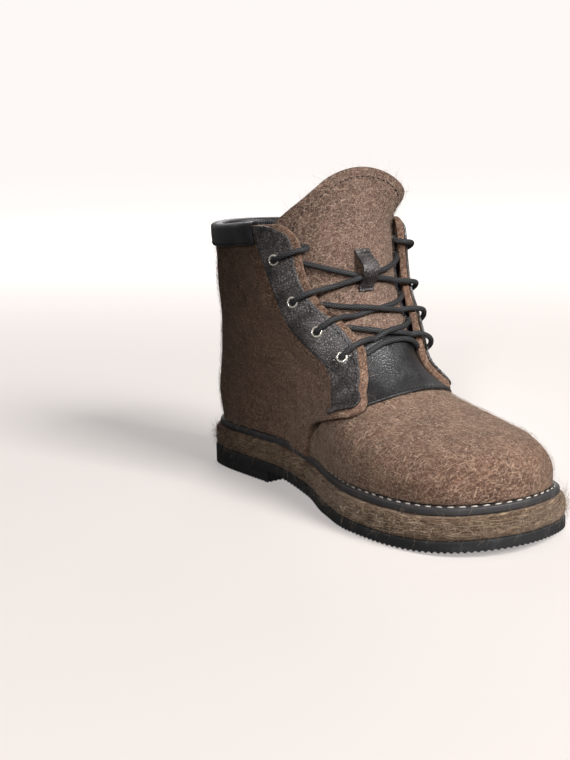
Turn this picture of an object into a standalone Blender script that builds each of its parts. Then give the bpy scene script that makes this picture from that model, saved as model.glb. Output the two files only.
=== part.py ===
# Felt ankle boot, the wearer's left one, laced over a free tongue.
# Toe toward -Y, heel toward +Y, medial side toward -X, sole on the plane Z = 0.
import math

import bmesh
import bpy
import numpy as np
from mathutils import Vector

# Driving sizes in metres
SOLE_LENGTH = 0.272
BALL_WIDTH = 0.112
TOE_SPRING = 0.005
HEEL_LIFT = 0.006
OUTSOLE = 0.006
MIDSOLE = 0.012
WELT = 0.004
WELT_INSET = 0.0035
WELT_SHELF = 0.0035
WELT_BAND = 0.014
INSOLE = 0.006
FELT = 0.004
LEATHER = 0.0012
CLEARANCE = 0.0003
LEATHER_SEAT = 0.0008
TOE_HEIGHT = 0.0580
COLLAR_HEIGHT = 0.158
COLLAR_DIP = 0.005
TONGUE_HEIGHT = 0.189
ANKLE_WIDTH = 0.083
FLAP_ROOM = 0.0036
FLAP_LIFT = FELT + FLAP_ROOM
FLAP_REACH = 0.048
FACING_SETBACK = 0.0028
BINDING_HEIGHT = 0.011
EYELET_HOLE = 0.0019
EYELET_BARREL = 0.0023
EYELET_FLANGE = 0.0034
EYELET_RISE = 0.0008
EYELET_GAP = 0.0004
EYELET_BORE = EYELET_BARREL + EYELET_GAP
LACE = 0.0031
LOOP_WIDTH = 0.010
LOOP_LENGTH = 0.024
CORNER_ROOM = 0.0022
CORNER_LIFT = FELT + CORNER_ROOM
SHOULDER = 0.151
TONGUE_FREE = (0.153, 0.180)
TONGUE_FLATTEN = 0.65
TONGUE_TWIST = math.radians(8)
FACING_FOOT = (0.362, 0.347)
FACING_TOP = 0.1572
FAN_STATION = 0.47
THROAT_ANGLE = math.radians(52)
BASE_ANGLES = (math.radians(41), math.radians(74.5))
BASE_SPREAD = (math.radians(35), math.radians(23))
INNER_POINT = (0.040, 0.030)
LOOP_MIDDLE = 0.828
LOOP_ROOM = 0.0010
LOOP_BOW = 2 * LACE + LOOP_ROOM
BAR_RISE = 0.003
BAR_ARCH = 0.006
BASE_TOP = 0.0965
TONGUE_LEAN = 0.006
VAMP_WING = 0.030
FLAP_OPENING = 1.2
CROSSING_SHARE = {-1: 0.44, 1: 0.56}
HEEL_BREAST = 0.30
FOREFOOT_FLAT = (0.52, 0.79)

# Sole outline: station as a share of the length from the heel,
# medial and lateral half widths as shares of the ball width
OUTLINE = (
    (0.000, 0.000, 0.000),
    (0.030, 0.182, 0.178),
    (0.080, 0.264, 0.264),
    (0.150, 0.291, 0.304),
    (0.230, 0.297, 0.322),
    (0.350, 0.301, 0.344),
    (0.450, 0.325, 0.371),
    (0.560, 0.432, 0.426),
    (0.680, 0.516, 0.475),
    (0.760, 0.524, 0.474),
    (0.840, 0.500, 0.435),
    (0.910, 0.436, 0.342),
    (0.960, 0.330, 0.245),
    (1.000, 0.071, -0.071),
)

# Front profile of the upper and tongue: station along the upper, then the height
# as a share of the toe height and a share of the rise from toe to tongue top
FRONT = (
    (0.440, 1.000, 1.150),
    (0.456, 1.000, 1.000),
    (0.472, 1.000, 0.770),
    (0.482, 1.000, 0.630),
    (0.496, 1.000, 0.460),
    (0.530, 1.000, 0.335),
    (0.562, 1.000, 0.250),
    (0.600, 1.000, 0.155),
    (0.640, 1.000, 0.085),
    (0.720, 1.000, 0.030),
    (0.800, 0.990, 0.000),
    (0.870, 0.955, 0.000),
    (0.920, 0.905, 0.000),
    (0.960, 0.830, 0.000),
    (0.985, 0.735, 0.000),
    (1.000, 0.600, 0.000),
)

# Back profile: height as a share of the collar height, bulge as a share of the length
BACK = (
    (0.00, 0.000),
    (0.15, 0.002),
    (0.32, 0.016),
    (0.50, 0.008),
    (0.67, -0.008),
    (0.83, -0.010),
    (1.00, -0.004),
    (1.40, 0.005),
)

# Half width of the shaft: height as a share of the collar height, share of the ankle width
SHAFT = (
    (0.00, 0.440),
    (0.40, 0.440),
    (0.54, 0.455),
    (0.65, 0.480),
    (0.75, 0.500),
    (0.90, 0.505),
    (1.00, 0.512),
    (1.30, 0.530),
)

# Front edge of the medial quarter: height as a share of the collar height, station
# along the upper
QUARTER_EDGE = (
    (0.000, 0.440),
    (0.140, 0.440),
    (0.220, 0.448),
    (0.270, 0.467),
    (0.300, 0.500),
    (0.328, 0.570),
    (0.345, 0.630),
    (0.370, 0.648),
    (0.416, 0.616),
    (0.490, 0.577),
    (0.562, 0.547),
    (0.598, 0.527),
    (0.648, 0.497),
    (0.698, 0.465),
    (0.760, 0.440),
    (0.848, 0.422),
    (0.930, 0.413),
    (1.000, 0.390),
)

# How much farther forward the lateral flap, facing and eyelets sit: height share, station
LATERAL_SHIFT = (
    (0.000, 0.000),
    (0.270, -0.008),
    (0.345, -0.055),
    (0.370, -0.052),
    (0.416, -0.034),
    (0.490, -0.018),
    (0.562, -0.008),
    (0.648, 0.002),
    (0.760, 0.018),
    (1.000, 0.033),
)

# Rear edge of the leather facings: height share, station
FACING_REAR = (
    (0.330, 0.590),
    (0.400, 0.562),
    (0.475, 0.517),
    (0.550, 0.464),
    (0.634, 0.412),
    (0.713, 0.383),
    (0.813, 0.358),
    (0.918, 0.334),
    (1.000, 0.322),
)

# Eyelets from the top: height share, station
EYELETS = (
    (0.872, 0.372),
    (0.720, 0.413),
    (0.612, 0.470),
    (0.516, 0.532),
)

# Laces from the top crossing down: climb over the flap it starts from, and how far
# above the next eyelet it tucks under the other flap
CROSSINGS = (
    (0.0060, -0.0020),
    (0.0070, -0.0010),
    (0.0085, 0.0030),
)

# Half width of the tongue: height share, share of the ankle width
TONGUE = (
    (0.35, 0.27),
    (0.45, 0.29),
    (0.60, 0.35),
    (0.75, 0.41),
    (0.95, 0.44),
    (1.10, 0.48),
    (1.30, 0.48),
)

# Rows up the quarters as shares of their height, closer at the flaps' lower corners
QUARTER_ROWS = (
    0.0, 0.06, 0.13, 0.18, 0.215, 0.24, 0.26, 0.285, 0.32,
    0.38, 0.45, 0.53, 0.61, 0.69, 0.78, 0.87, 0.94, 1.0,
)

SIDES = (("medial", -1), ("lateral", 1))
VAMP_ROWS = 13
VAMP_COLUMNS = 26
QUARTER_COLUMNS = 36
BASE_ROWS = 8
BASE_COLUMNS = 12
TONGUE_ROWS = 12
TONGUE_COLUMNS = 12
FACING_ROWS = 12
FACING_COLUMNS = 4
EYELET_SIDES = 9
RUNGS = 30
CENTRE_SHIFT = BALL_WIDTH * (max(row[1] for row in OUTLINE) - max(row[2] for row in OUTLINE)) / 2
UPPER_INSET = WELT_INSET + WELT_SHELF
UPPER_LENGTH = SOLE_LENGTH - 2 * UPPER_INSET
UPPER_SCALE = (BALL_WIDTH - 2 * UPPER_INSET) / BALL_WIDTH


def clear_scene():
    for item in list(bpy.data.objects):
        bpy.data.objects.remove(item, do_unlink=True)


def ease(value):
    value = np.clip(value, 0, 1)
    return value * value * (3 - 2 * value)


def along(xs, ys, at):
    """Monotone smooth curve through a table, read at one or many places."""
    xs = np.asarray(xs, float)
    ys = np.asarray(ys, float)
    at = np.clip(np.asarray(at, float), xs[0], xs[-1])
    step = np.diff(xs)
    slope = np.diff(ys) / step
    product = slope[:-1] * slope[1:]
    total = slope[:-1] + slope[1:]
    tangent = np.zeros(len(xs))
    tangent[1:-1] = np.where(product > 0, 2 * product / np.where(total == 0, 1, total), 0)
    tangent[0] = slope[0]
    tangent[-1] = slope[-1]
    place = np.clip(np.searchsorted(xs, at) - 1, 0, len(step) - 1)
    width = step[place]
    t = (at - xs[place]) / width
    return (
        ys[place] * (1 + 2 * t) * (1 - t) ** 2
        + ys[place + 1] * t * t * (3 - 2 * t)
        + width * t * (1 - t) * (tangent[place] * (1 - t) - tangent[place + 1] * t)
    )


def column(rows, index):
    return [row[index] for row in rows]


def outline_width(station, side):
    angles = [math.acos(1 - 2 * row[0]) for row in OUTLINE]
    angle = np.arccos(np.clip(1 - 2 * np.asarray(station, float), -1, 1))
    return BALL_WIDTH * along(angles, column(OUTLINE, 1 if side < 0 else 2), angle)


def sole_rise(y):
    """Height of the outsole's underside: over the heel lift, down the waist, up at the toe."""
    station = 0.5 - np.asarray(y, float) / SOLE_LENGTH
    heel = 1 - ease((station - HEEL_BREAST) / (FOREFOOT_FLAT[0] - HEEL_BREAST))
    toe = np.clip((station - FOREFOOT_FLAT[1]) / (1 - FOREFOOT_FLAT[1]), 0, 1)
    return (HEEL_LIFT + CLEARANCE) * heel + TOE_SPRING * toe ** 2


def feather(y):
    """Height at which the upper stands on the welt."""
    return sole_rise(y) + OUTSOLE + MIDSOLE + WELT + 3 * CLEARANCE


def upper_y(station):
    return UPPER_LENGTH * (0.5 - np.asarray(station, float))


PROFILE_Y = np.linspace(-UPPER_LENGTH / 2, upper_y(FRONT[0][0]), 600)
PROFILE_Z = along(
    column(FRONT, 0),
    [TOE_HEIGHT * row[1] + (TONGUE_HEIGHT - TOE_HEIGHT) * row[2] for row in FRONT],
    0.5 - PROFILE_Y / UPPER_LENGTH,
)


def front_y(z):
    return np.interp(z, PROFILE_Z, PROFILE_Y)


def back_y(z):
    share = np.asarray(z, float) / COLLAR_HEIGHT
    return UPPER_LENGTH / 2 + SOLE_LENGTH * along(column(BACK, 0), column(BACK, 1), share)


def front_power(z, side):
    """Fullness of the shaft's front quarter: an ellipse, squarer where the flap opens."""
    opened = ease((z - 0.066) / 0.040) * (np.asarray(side) > 0)
    return 2 + FLAP_OPENING * opened


def form_width(y, z, side):
    """Half width of the outer form at a place along the boot and a height."""
    y = np.asarray(y, float)
    z = np.asarray(z, float)
    front = front_y(z)
    back = back_y(z)
    stretched = np.where(y > 0, y * UPPER_LENGTH / 2 / back, y)
    foot = UPPER_SCALE * outline_width(0.5 - stretched / UPPER_LENGTH, side)
    foot = foot + 0.0 * z
    low = feather(y)
    top = np.interp(y, PROFILE_Y, PROFILE_Z)
    rise = np.clip((z - low) / (top - low), 0, 1)
    swell = 1 + 0.16 * rise * (1 - rise)
    foot = foot * (1 - rise ** 2.6) ** (1 / 2.4) * swell
    depth = (back - front) / 2
    middle = (back + front) / 2
    shaft = ANKLE_WIDTH * along(column(SHAFT, 0), column(SHAFT, 1), z / COLLAR_HEIGHT)
    place = np.clip((middle - y) / depth, -1, 1)
    power = np.where(place > 0, front_power(z, side), 2)
    shaft = shaft * (1 - np.abs(place) ** power) ** (1 / power)
    blend = ease((z - TOE_HEIGHT * 0.80) / (TOE_HEIGHT * 0.75))
    return foot * (1 - blend) + shaft * blend


def form_point(turn, z):
    """Point of the outer form: turn 0 is the front, pi the heel, negative is medial."""
    turn = np.asarray(turn, float)
    z = np.asarray(z, float) + 0.0 * turn
    front = front_y(z)
    back = back_y(z)
    y = (front + back) / 2 - (back - front) / 2 * np.cos(turn)
    width = np.where(turn < 0, form_width(y, z, -1), form_width(y, z, 1))
    return np.stack([np.sign(np.sin(turn)) * width, y, z], axis=-1)


def turn_at(y, z):
    """Turn, from 0 to pi, at which the form reaches a place along the boot."""
    front = front_y(z)
    back = back_y(z)
    return np.arccos(np.clip(((front + back) / 2 - y) / ((back - front) / 2), -1, 1))


def normals(points):
    """Outward unit normals of a grid of points, rows upward and columns round the boot."""
    across = np.gradient(points, axis=1)
    upward = np.gradient(points, axis=0)
    normal = np.cross(upward, across)
    normal /= np.linalg.norm(normal, axis=-1, keepdims=True)
    outward = points - np.array([0, INNER_POINT[0], INNER_POINT[1]])
    return normal * np.sign(np.sum(normal * outward))


def material(name, color, roughness, metallic=0.0):
    made = bpy.data.materials.get(name) or bpy.data.materials.new(name)
    made.use_nodes = True
    shader = made.node_tree.nodes["Principled BSDF"]
    shader.inputs["Base Color"].default_value = (*color, 1)
    shader.inputs["Roughness"].default_value = roughness
    shader.inputs["Metallic"].default_value = metallic
    return made


FINISHES = {
    "felt": ((0.14, 0.085, 0.055), 0.95, 0.0),
    "midsole_felt": ((0.22, 0.14, 0.08), 0.95, 0.0),
    "leather": ((0.012, 0.012, 0.014), 0.45, 0.0),
    "rubber": ((0.012, 0.012, 0.013), 0.8, 0.0),
    "welt_rubber": ((0.05, 0.05, 0.052), 0.6, 0.0),
    "nickel": ((0.7, 0.68, 0.64), 0.25, 1.0),
    "cord": ((0.02, 0.02, 0.022), 0.8, 0.0),
}


def add_part(name, shape, finish, centred=True):
    """Turn a bmesh into a named object of the boot with its own material."""
    bmesh.ops.recalc_face_normals(shape, faces=shape.faces)
    if centred:
        bmesh.ops.translate(shape, vec=(CENTRE_SHIFT, 0, 0), verts=shape.verts)
    mesh = bpy.data.meshes.new(name)
    shape.to_mesh(mesh)
    shape.free()
    mesh.shade_smooth()
    mesh.set_sharp_from_angle(angle=math.radians(35))
    item = bpy.data.objects.new(name, mesh)
    item.data.materials.append(material(name, *FINISHES[finish]))
    bpy.data.collections["felt_boot"].objects.link(item)
    return item


def add_cutter(name, shape):
    """Turn a bmesh into a hidden object that cuts or joins the parts."""
    bmesh.ops.recalc_face_normals(shape, faces=shape.faces)
    bmesh.ops.translate(shape, vec=(CENTRE_SHIFT, 0, 0), verts=shape.verts)
    mesh = bpy.data.meshes.new(name)
    shape.to_mesh(mesh)
    shape.free()
    item = bpy.data.objects.new(name, mesh)
    item.hide_render = True
    item.display_type = "WIRE"
    bpy.data.collections["cutters"].objects.link(item)
    return item


def combine(item, tool, operation):
    step = item.modifiers.new(tool.name, "BOOLEAN")
    step.operation = operation
    step.solver = "EXACT"
    step.object = tool


def grid_sheet(shape, points):
    """Lay a grid through rows and columns of points, and return its border edges."""
    rows, columns = points.shape[:2]
    made = bmesh.ops.create_grid(shape, x_segments=columns - 1, y_segments=rows - 1, size=1)
    for index, vertex in enumerate(made["verts"]):
        vertex.co = points[index // columns, index % columns]
    corners = set(made["verts"])
    return [edge for edge in shape.edges if edge.is_boundary and edge.verts[0] in corners]


def shell(outer, inner):
    """Closed shell between two grids of points."""
    shape = bmesh.new()
    border = grid_sheet(shape, outer)
    border += grid_sheet(shape, inner)
    bmesh.ops.bridge_loops(shape, edges=border)
    return shape


def closed_shell(outer, inner):
    """Closed shell between two tubes of points, whose columns run all the way round."""
    shape = bmesh.new()
    rows, columns = outer.shape[:2]
    rings = [*outer, *inner[::-1]]
    loops = [[shape.verts.new(point) for point in ring] for ring in rings]
    for first, second in zip(loops, loops[1:] + loops[:1]):
        for index in range(columns):
            after = (index + 1) % columns
            shape.faces.new((first[index], first[after], second[after], second[index]))
    return shape


def section_sweep(rings):
    """Solid whose closed section runs along open columns, with flat ends."""
    shape = bmesh.new()
    loops = [[shape.verts.new(point) for point in ring] for ring in rings]
    for first, second in zip(loops, loops[1:] + loops[:1]):
        for index in range(len(first) - 1):
            shape.faces.new((first[index], first[index + 1], second[index + 1], second[index]))
    shape.faces.new([loop[0] for loop in loops])
    shape.faces.new([loop[-1] for loop in reversed(loops)])
    return shape


def rim(inset):
    """Medial and lateral points of the sole outline, from heel to toe, moved inward."""
    angle = np.linspace(0, math.pi, RUNGS + 1)
    station = (1 - np.cos(angle)) / 2
    y = SOLE_LENGTH * (0.5 - station)
    medial = np.stack([-outline_width(station, -1), y], axis=-1)
    lateral = np.stack([outline_width(station, 1), y], axis=-1)
    loop = np.vstack([medial, lateral[-2:0:-1]])
    tangent = np.roll(loop, -1, axis=0) - np.roll(loop, 1, axis=0)
    normal = np.stack([-tangent[:, 1], tangent[:, 0]], axis=-1)
    normal /= np.linalg.norm(normal, axis=-1, keepdims=True)
    outward = np.sign(np.sum(normal * (loop - loop.mean(axis=0)), axis=-1).mean())
    loop = loop - normal * outward * inset
    return loop[: RUNGS + 1], np.vstack([loop[:1], loop[:RUNGS:-1], loop[RUNGS : RUNGS + 1]])


def slab(inset, level, thickness, first=0, last=RUNGS):
    """Sheet across the sole outline between two rungs, thickened downward."""
    medial, lateral = rim(inset)
    shape = bmesh.new()
    rungs = []
    for left, right in list(zip(medial, lateral))[first : last + 1]:
        ends = [left, right] if np.linalg.norm(left - right) > 1e-6 else [left]
        rungs.append([shape.verts.new((x, y, level(y))) for x, y in ends])
    for before, after in zip(rungs, rungs[1:]):
        shape.faces.new(before + after[::-1])
    bottom = bmesh.ops.extrude_face_region(shape, geom=list(shape.faces))["geom"]
    moved = [item for item in bottom if isinstance(item, bmesh.types.BMVert)]
    for vertex in moved:
        vertex.co.z -= thickness(vertex.co.y) if callable(thickness) else thickness
    return shape


def build_sole():
    add_part("outsole", slab(0, lambda y: sole_rise(y) + OUTSOLE, OUTSOLE), "rubber")
    breast = int(RUNGS * math.acos(1 - 2 * HEEL_BREAST) / math.pi)
    lift = slab(0.0006, lambda y: HEEL_LIFT, HEEL_LIFT, 0, breast)
    add_part("heel_lift", lift, "rubber")
    middle = OUTSOLE + MIDSOLE + CLEARANCE
    add_part("midsole", slab(0.001, lambda y: sole_rise(y) + middle, MIDSOLE), "midsole_felt")
    base = middle + CLEARANCE
    outer = np.vstack([rim(WELT_INSET)[0], rim(WELT_INSET)[1][-2:0:-1]])
    inner = np.vstack([rim(WELT_BAND)[0], rim(WELT_BAND)[1][-2:0:-1]])
    outer = np.column_stack([outer, sole_rise(outer[:, 1]) + base])
    inner = np.column_stack([inner, sole_rise(inner[:, 1]) + base])
    lift = np.array([0, 0, WELT])
    band = closed_shell(np.stack([outer, outer + lift]), np.stack([inner, inner + lift]))
    add_part("welt", band, "welt_rubber")
    bed = slab(WELT_BAND + CLEARANCE, lambda y: sole_rise(y) + base + INSOLE, INSOLE)
    add_part("insole", bed, "felt")


def line_y(table, z, side):
    """Place along the boot of a line on the quarter, given for the medial side."""
    share = np.asarray(z, float) / COLLAR_HEIGHT
    station = along(column(table, 0), column(table, 1), share)
    shift = along(column(LATERAL_SHIFT, 0), column(LATERAL_SHIFT, 1), share)
    return upper_y(station + shift * (np.asarray(side) > 0))


def edge_y(z, side):
    return line_y(QUARTER_EDGE, z, side)


def collar_z(y):
    back = ease((np.asarray(y, float) - 0.03) / 0.07)
    return COLLAR_HEIGHT - COLLAR_DIP * back


def lift_at(points):
    """How far the quarter's outer face stands off the form."""
    x, y, z = np.moveaxis(points, -1, 0)
    behind = y - edge_y(z, x)
    reach = FLAP_REACH * (0.55 + 0.45 * ease((z - 0.06) / 0.03))
    fade = 1 - ease((behind - 0.45 * reach) / (0.55 * reach))
    seam = FELT - CLEARANCE
    corner = (CORNER_LIFT - seam) * ease((z - 0.048) / 0.009)
    flap = (FLAP_LIFT - CORNER_LIFT) * ease((z - 0.065) / 0.020)
    return fade * (seam + corner + flap)


def side_grid(turns, heights, offset):
    """Grid on the quarters at an offset from their outer face."""
    points = form_point(turns, heights)
    lift = lift_at(points) + offset
    return points + normals(points) * lift[..., None]


def quarter_row(share):
    """Turns and heights round the heel, from front edge to front edge of the quarters."""
    floor = feather(0)
    z = np.full(QUARTER_COLUMNS + 1, floor + (COLLAR_HEIGHT - floor) * share)
    for _ in range(4):
        medial = -turn_at(edge_y(z[0], -1), z[0])
        lateral = turn_at(edge_y(z[-1], 1), z[-1])
        around = lateral - medial - 2 * math.pi
        turn = medial + around * np.linspace(0, 1, QUARTER_COLUMNS + 1)
        turn = np.where(turn < -math.pi, turn + 2 * math.pi, turn)
        y = form_point(turn, z)[..., 1]
        z = feather(y) + (collar_z(y) - feather(y)) * share
    return turn, z


def quarter_grid(offset):
    turns, heights = zip(*(quarter_row(share) for share in QUARTER_ROWS))
    return side_grid(np.stack(turns), np.stack(heights), offset)


def hinge_y(cosine):
    """Line across the waist that the vamp fans from, swept back toward its ends."""
    return upper_y(FAN_STATION) + VAMP_WING * cosine ** 4


def fan_grid(angles, spreads):
    """Points of the form on planes that fan about a line across the waist."""
    angles = np.asarray(angles)[:, None] + 0 * spreads
    way = np.stack([
        -np.cos(spreads),
        -np.sin(spreads) * np.cos(angles),
        np.sin(spreads) * np.sin(angles),
    ], axis=-1)
    hinge = hinge_y(np.cos(spreads))
    near = np.zeros(angles.shape)
    far = np.full(angles.shape, SOLE_LENGTH)
    for _ in range(44):
        reach = (near + far) / 2
        place = way * reach[..., None]
        place[..., 1] += hinge
        place[..., 2] += feather(place[..., 1])
        x, y, z = np.moveaxis(place, -1, 0)
        width = np.where(x < 0, form_width(y, z, -1), form_width(y, z, 1))
        outside = (np.abs(x) > width) | (y < front_y(z))
        far = np.where(outside, reach, far)
        near = np.where(outside, near, reach)
    return place


def vamp_grid():
    spread = np.linspace(0.05, math.pi - 0.05, VAMP_COLUMNS + 1)
    angles = THROAT_ANGLE * np.linspace(0, 1, VAMP_ROWS + 1) ** 0.9
    return fan_grid(angles, spread[None, :] * np.ones((VAMP_ROWS + 1, 1)))


def base_grid():
    """Leather patch over the throat edge of the vamp and the foot of the tongue."""
    share = np.linspace(0, 1, BASE_ROWS + 1)[:, None]
    across = np.linspace(-1, 1, BASE_COLUMNS + 1)[None, :]
    half = BASE_SPREAD[0] + (BASE_SPREAD[1] - BASE_SPREAD[0]) * share
    angles = BASE_ANGLES[0] + (BASE_ANGLES[1] - BASE_ANGLES[0]) * share[:, 0]
    return fan_grid(angles, math.pi / 2 + half * across)


def turn_across(x, z):
    """Turn at which the front of the shaft reaches a place across the boot."""
    shaft = ANKLE_WIDTH * along(column(SHAFT, 0), column(SHAFT, 1), z / COLLAR_HEIGHT)
    power = front_power(z, x)
    share = np.clip(np.abs(x) / shaft, 0, 0.99)
    return np.sign(x) * np.arccos((1 - share ** power) ** (1 / power))


def tongue_turn(across, z):
    half = ANKLE_WIDTH * along(column(TONGUE, 0), column(TONGUE, 1), z / COLLAR_HEIGHT)
    return turn_across(across * half, z)


def tongue_grid():
    across = np.linspace(-1, 1, TONGUE_COLUMNS + 1)[None, :]
    low = np.full(across.shape, TOE_HEIGHT)
    high = np.full(across.shape, COLLAR_HEIGHT)
    for _ in range(40):
        z = (low + high) / 2
        x, y, _ = np.moveaxis(form_point(tongue_turn(across, z), z), -1, 0)
        rise = z - feather(y)
        hinge = hinge_y(np.abs(x) / np.sqrt(x ** 2 + rise ** 2 + (y - upper_y(FAN_STATION)) ** 2))
        above = rise > (hinge - y) * math.tan(THROAT_ANGLE) + 2 * CLEARANCE
        high = np.where(above, z, high)
        low = np.where(above, low, z)
    top = SHOULDER + (TONGUE_HEIGHT - SHOULDER) * np.sqrt(1 - 0.97 * across ** 2)
    share = np.linspace(0, 1, TONGUE_ROWS + 1)[:, None]
    z = high + (top - high) * share
    points = form_point(tongue_turn(across + 0 * z, z), z)
    free = ease((z - TONGUE_FREE[0]) / (TONGUE_FREE[1] - TONGUE_FREE[0]))
    front = front_y(z)
    depth = (points[..., 1] - front) * (1 - TONGUE_FLATTEN * free)
    twist = TONGUE_TWIST * free
    x = points[..., 0] * np.cos(twist) + depth * np.sin(twist)
    points[..., 1] = front - points[..., 0] * np.sin(twist) + depth * np.cos(twist)
    points[..., 0] = x + TONGUE_LEAN * free
    return points


def build_upper():
    vamp = vamp_grid()
    upper = add_part("upper", shell(vamp, vamp - normals(vamp) * FELT), "felt")
    quarters = add_cutter("quarters", shell(quarter_grid(0), quarter_grid(-FELT)))
    combine(upper, quarters, "UNION")
    return upper


def build_tongue():
    tongue = tongue_grid()
    add_part("tongue", shell(tongue, tongue - normals(tongue) * FELT), "felt")
    base = base_grid()
    normal = normals(base)
    inner = base + normal * LEATHER_SEAT
    add_part("tongue_base", shell(inner + normal * LEATHER, inner), "leather")


def facing_grid(side, offset):
    share = np.linspace(0, 1, FACING_ROWS + 1)[:, None]
    across = np.linspace(0, 1, FACING_COLUMNS + 1)[None, :]
    low = FACING_FOOT[0] + (FACING_FOOT[1] - FACING_FOOT[0]) * across
    z = COLLAR_HEIGHT * low + (FACING_TOP - COLLAR_HEIGHT * low) * share
    front = edge_y(z, side) + FACING_SETBACK
    rear = line_y(FACING_REAR, z, side)
    y = front + (rear - front) * across
    return side_grid(side * turn_at(y, z), z, offset)


def build_facings():
    for name, side in SIDES:
        inner = facing_grid(side, LEATHER_SEAT)
        outer = facing_grid(side, LEATHER_SEAT + LEATHER)
        add_part(f"facing_{name}", shell(outer, inner), "leather")


def build_binding():
    """Leather strip folded over the collar edge, from facing to facing round the heel."""
    first, last = (
        side * turn_at(line_y(FACING_REAR, COLLAR_HEIGHT, side) + 2 * CLEARANCE, COLLAR_HEIGHT)
        for _, side in SIDES
    )
    turn = quarter_row(1)[0]
    rear = (np.abs(turn) > np.where(turn < 0, -first, last) + 0.05)
    turn = np.array([first, *turn[rear], last])
    top = collar_z(form_point(turn, COLLAR_HEIGHT)[..., 1])
    skin = LEATHER_SEAT + LEATHER
    section = (
        (skin, -BINDING_HEIGHT, 0),
        (skin, 0, CLEARANCE),
        (skin / 2, 0, skin),
        (-FELT - skin / 2, 0, skin),
        (-FELT - skin, 0, CLEARANCE),
        (-FELT - skin, -BINDING_HEIGHT, 0),
        (-FELT - LEATHER_SEAT, -BINDING_HEIGHT, 0),
        (-FELT - LEATHER_SEAT, 0, CLEARANCE),
        (LEATHER_SEAT, 0, CLEARANCE),
        (LEATHER_SEAT, -BINDING_HEIGHT, 0),
    )
    rings = []
    for offset, drop, above in section:
        heights = np.stack([top + drop - 0.001, top + drop])
        ring = side_grid(np.stack([turn, turn]), heights, offset)[1]
        ring[:, 2] += above
        rings.append(ring)
    add_part("collar_binding", section_sweep(rings), "leather")


def place_on_quarter(side, y, z, offset):
    """Point and outward normal on the quarter's outer face."""
    step = 0.0015
    heights = z + np.array([-step, 0, step])[:, None] + np.zeros((1, 3))
    places = y + np.array([-step, 0, step])[None, :] + np.zeros((3, 1))
    points = form_point(side * turn_at(places, heights), heights)
    lifted = points + normals(points) * lift_at(points)[..., None]
    normal = normals(lifted)[1, 1]
    if normal[0] * side < 0:
        normal = -normal
    return lifted[1, 1] + normal * offset, normal


def eyelet_place(side, number):
    z = EYELETS[number][0] * COLLAR_HEIGHT
    return float(line_y(sorted(EYELETS), z, side)), z


def eyelet_places():
    for name, side in SIDES:
        for number in range(len(EYELETS)):
            point, normal = place_on_quarter(side, *eyelet_place(side, number), 0)
            yield f"eyelet_{name}_{number + 1}", Vector(point), Vector(normal)


def build_eyelets(upper):
    seat = LEATHER + LEATHER_SEAT + 1.5 * CLEARANCE
    profile = (
        (EYELET_HOLE, EYELET_RISE),
        (EYELET_FLANGE - 0.0004, EYELET_RISE),
        (EYELET_FLANGE, EYELET_RISE / 2),
        (EYELET_FLANGE, 0),
        (EYELET_BARREL, 0),
        (EYELET_BARREL, -seat - FELT),
        (EYELET_HOLE, -seat - FELT),
    )
    for name, point, normal in eyelet_places():
        shape = bmesh.new()
        ring = [shape.verts.new((radius, 0, height)) for radius, height in profile]
        for first, second in zip(ring, ring[1:] + ring[:1]):
            shape.edges.new((first, second))
        bmesh.ops.spin(
            shape, geom=list(shape.verts) + list(shape.edges), axis=(0, 0, 1),
            angle=2 * math.pi, steps=EYELET_SIDES, use_merge=True,
        )
        bmesh.ops.remove_doubles(shape, verts=shape.verts, dist=1e-6)
        eyelet = add_part(name, shape, "nickel", centred=False)
        turned = Vector((0, 0, 1)).rotation_difference(normal)
        eyelet.rotation_mode = "QUATERNION"
        eyelet.rotation_quaternion = turned
        eyelet.location = point + normal * seat + Vector((CENTRE_SHIFT, 0, 0))
        bore = bmesh.new()
        bmesh.ops.create_cone(
            bore, cap_ends=True, segments=12, radius1=EYELET_BORE, radius2=EYELET_BORE,
            depth=3 * FELT,
        )
        bmesh.ops.transform(bore, matrix=turned.to_matrix().to_4x4(), verts=bore.verts)
        bmesh.ops.translate(bore, vec=point - normal * FELT / 2, verts=bore.verts)
        cutter = add_cutter(f"bore_{name}", bore)
        combine(upper, cutter, "DIFFERENCE")
        combine(bpy.data.objects["facing_" + name.split("_")[1]], cutter, "DIFFERENCE")


def form_offset(x_turn, z, offset):
    """Point at an offset outside the form, at a signed turn and a height."""
    step = 0.0015
    heights = z + np.array([-step, 0, step])[:, None] + np.zeros((1, 3))
    turns = x_turn + np.array([-0.03, 0, 0.03])[None, :] + np.zeros((3, 1))
    points = form_point(turns, heights)
    return points[1, 1] + normals(points)[1, 1] * offset


def build_loop():
    """Leather keeper on the tongue: a strip sewn down at both ends and bowed outward."""
    rows = np.linspace(0, 1, 9)
    across = np.linspace(-1, 1, 5)
    middle = LOOP_MIDDLE * COLLAR_HEIGHT
    inner = np.zeros((len(rows), len(across), 3))
    for row, share in enumerate(rows):
        z = middle + LOOP_LENGTH * (share - 0.5)
        bow = LOOP_BOW * math.sin(math.pi * share) ** 0.6
        for spot, side in enumerate(across):
            turn = turn_across(side * LOOP_WIDTH / 2 + 1e-5, z)
            inner[row, spot] = form_offset(turn, z, 2 * CLEARANCE + bow)
    outer = inner + normals(inner) * LEATHER
    add_part("lace_loop", shell(outer, inner), "leather")


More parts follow.
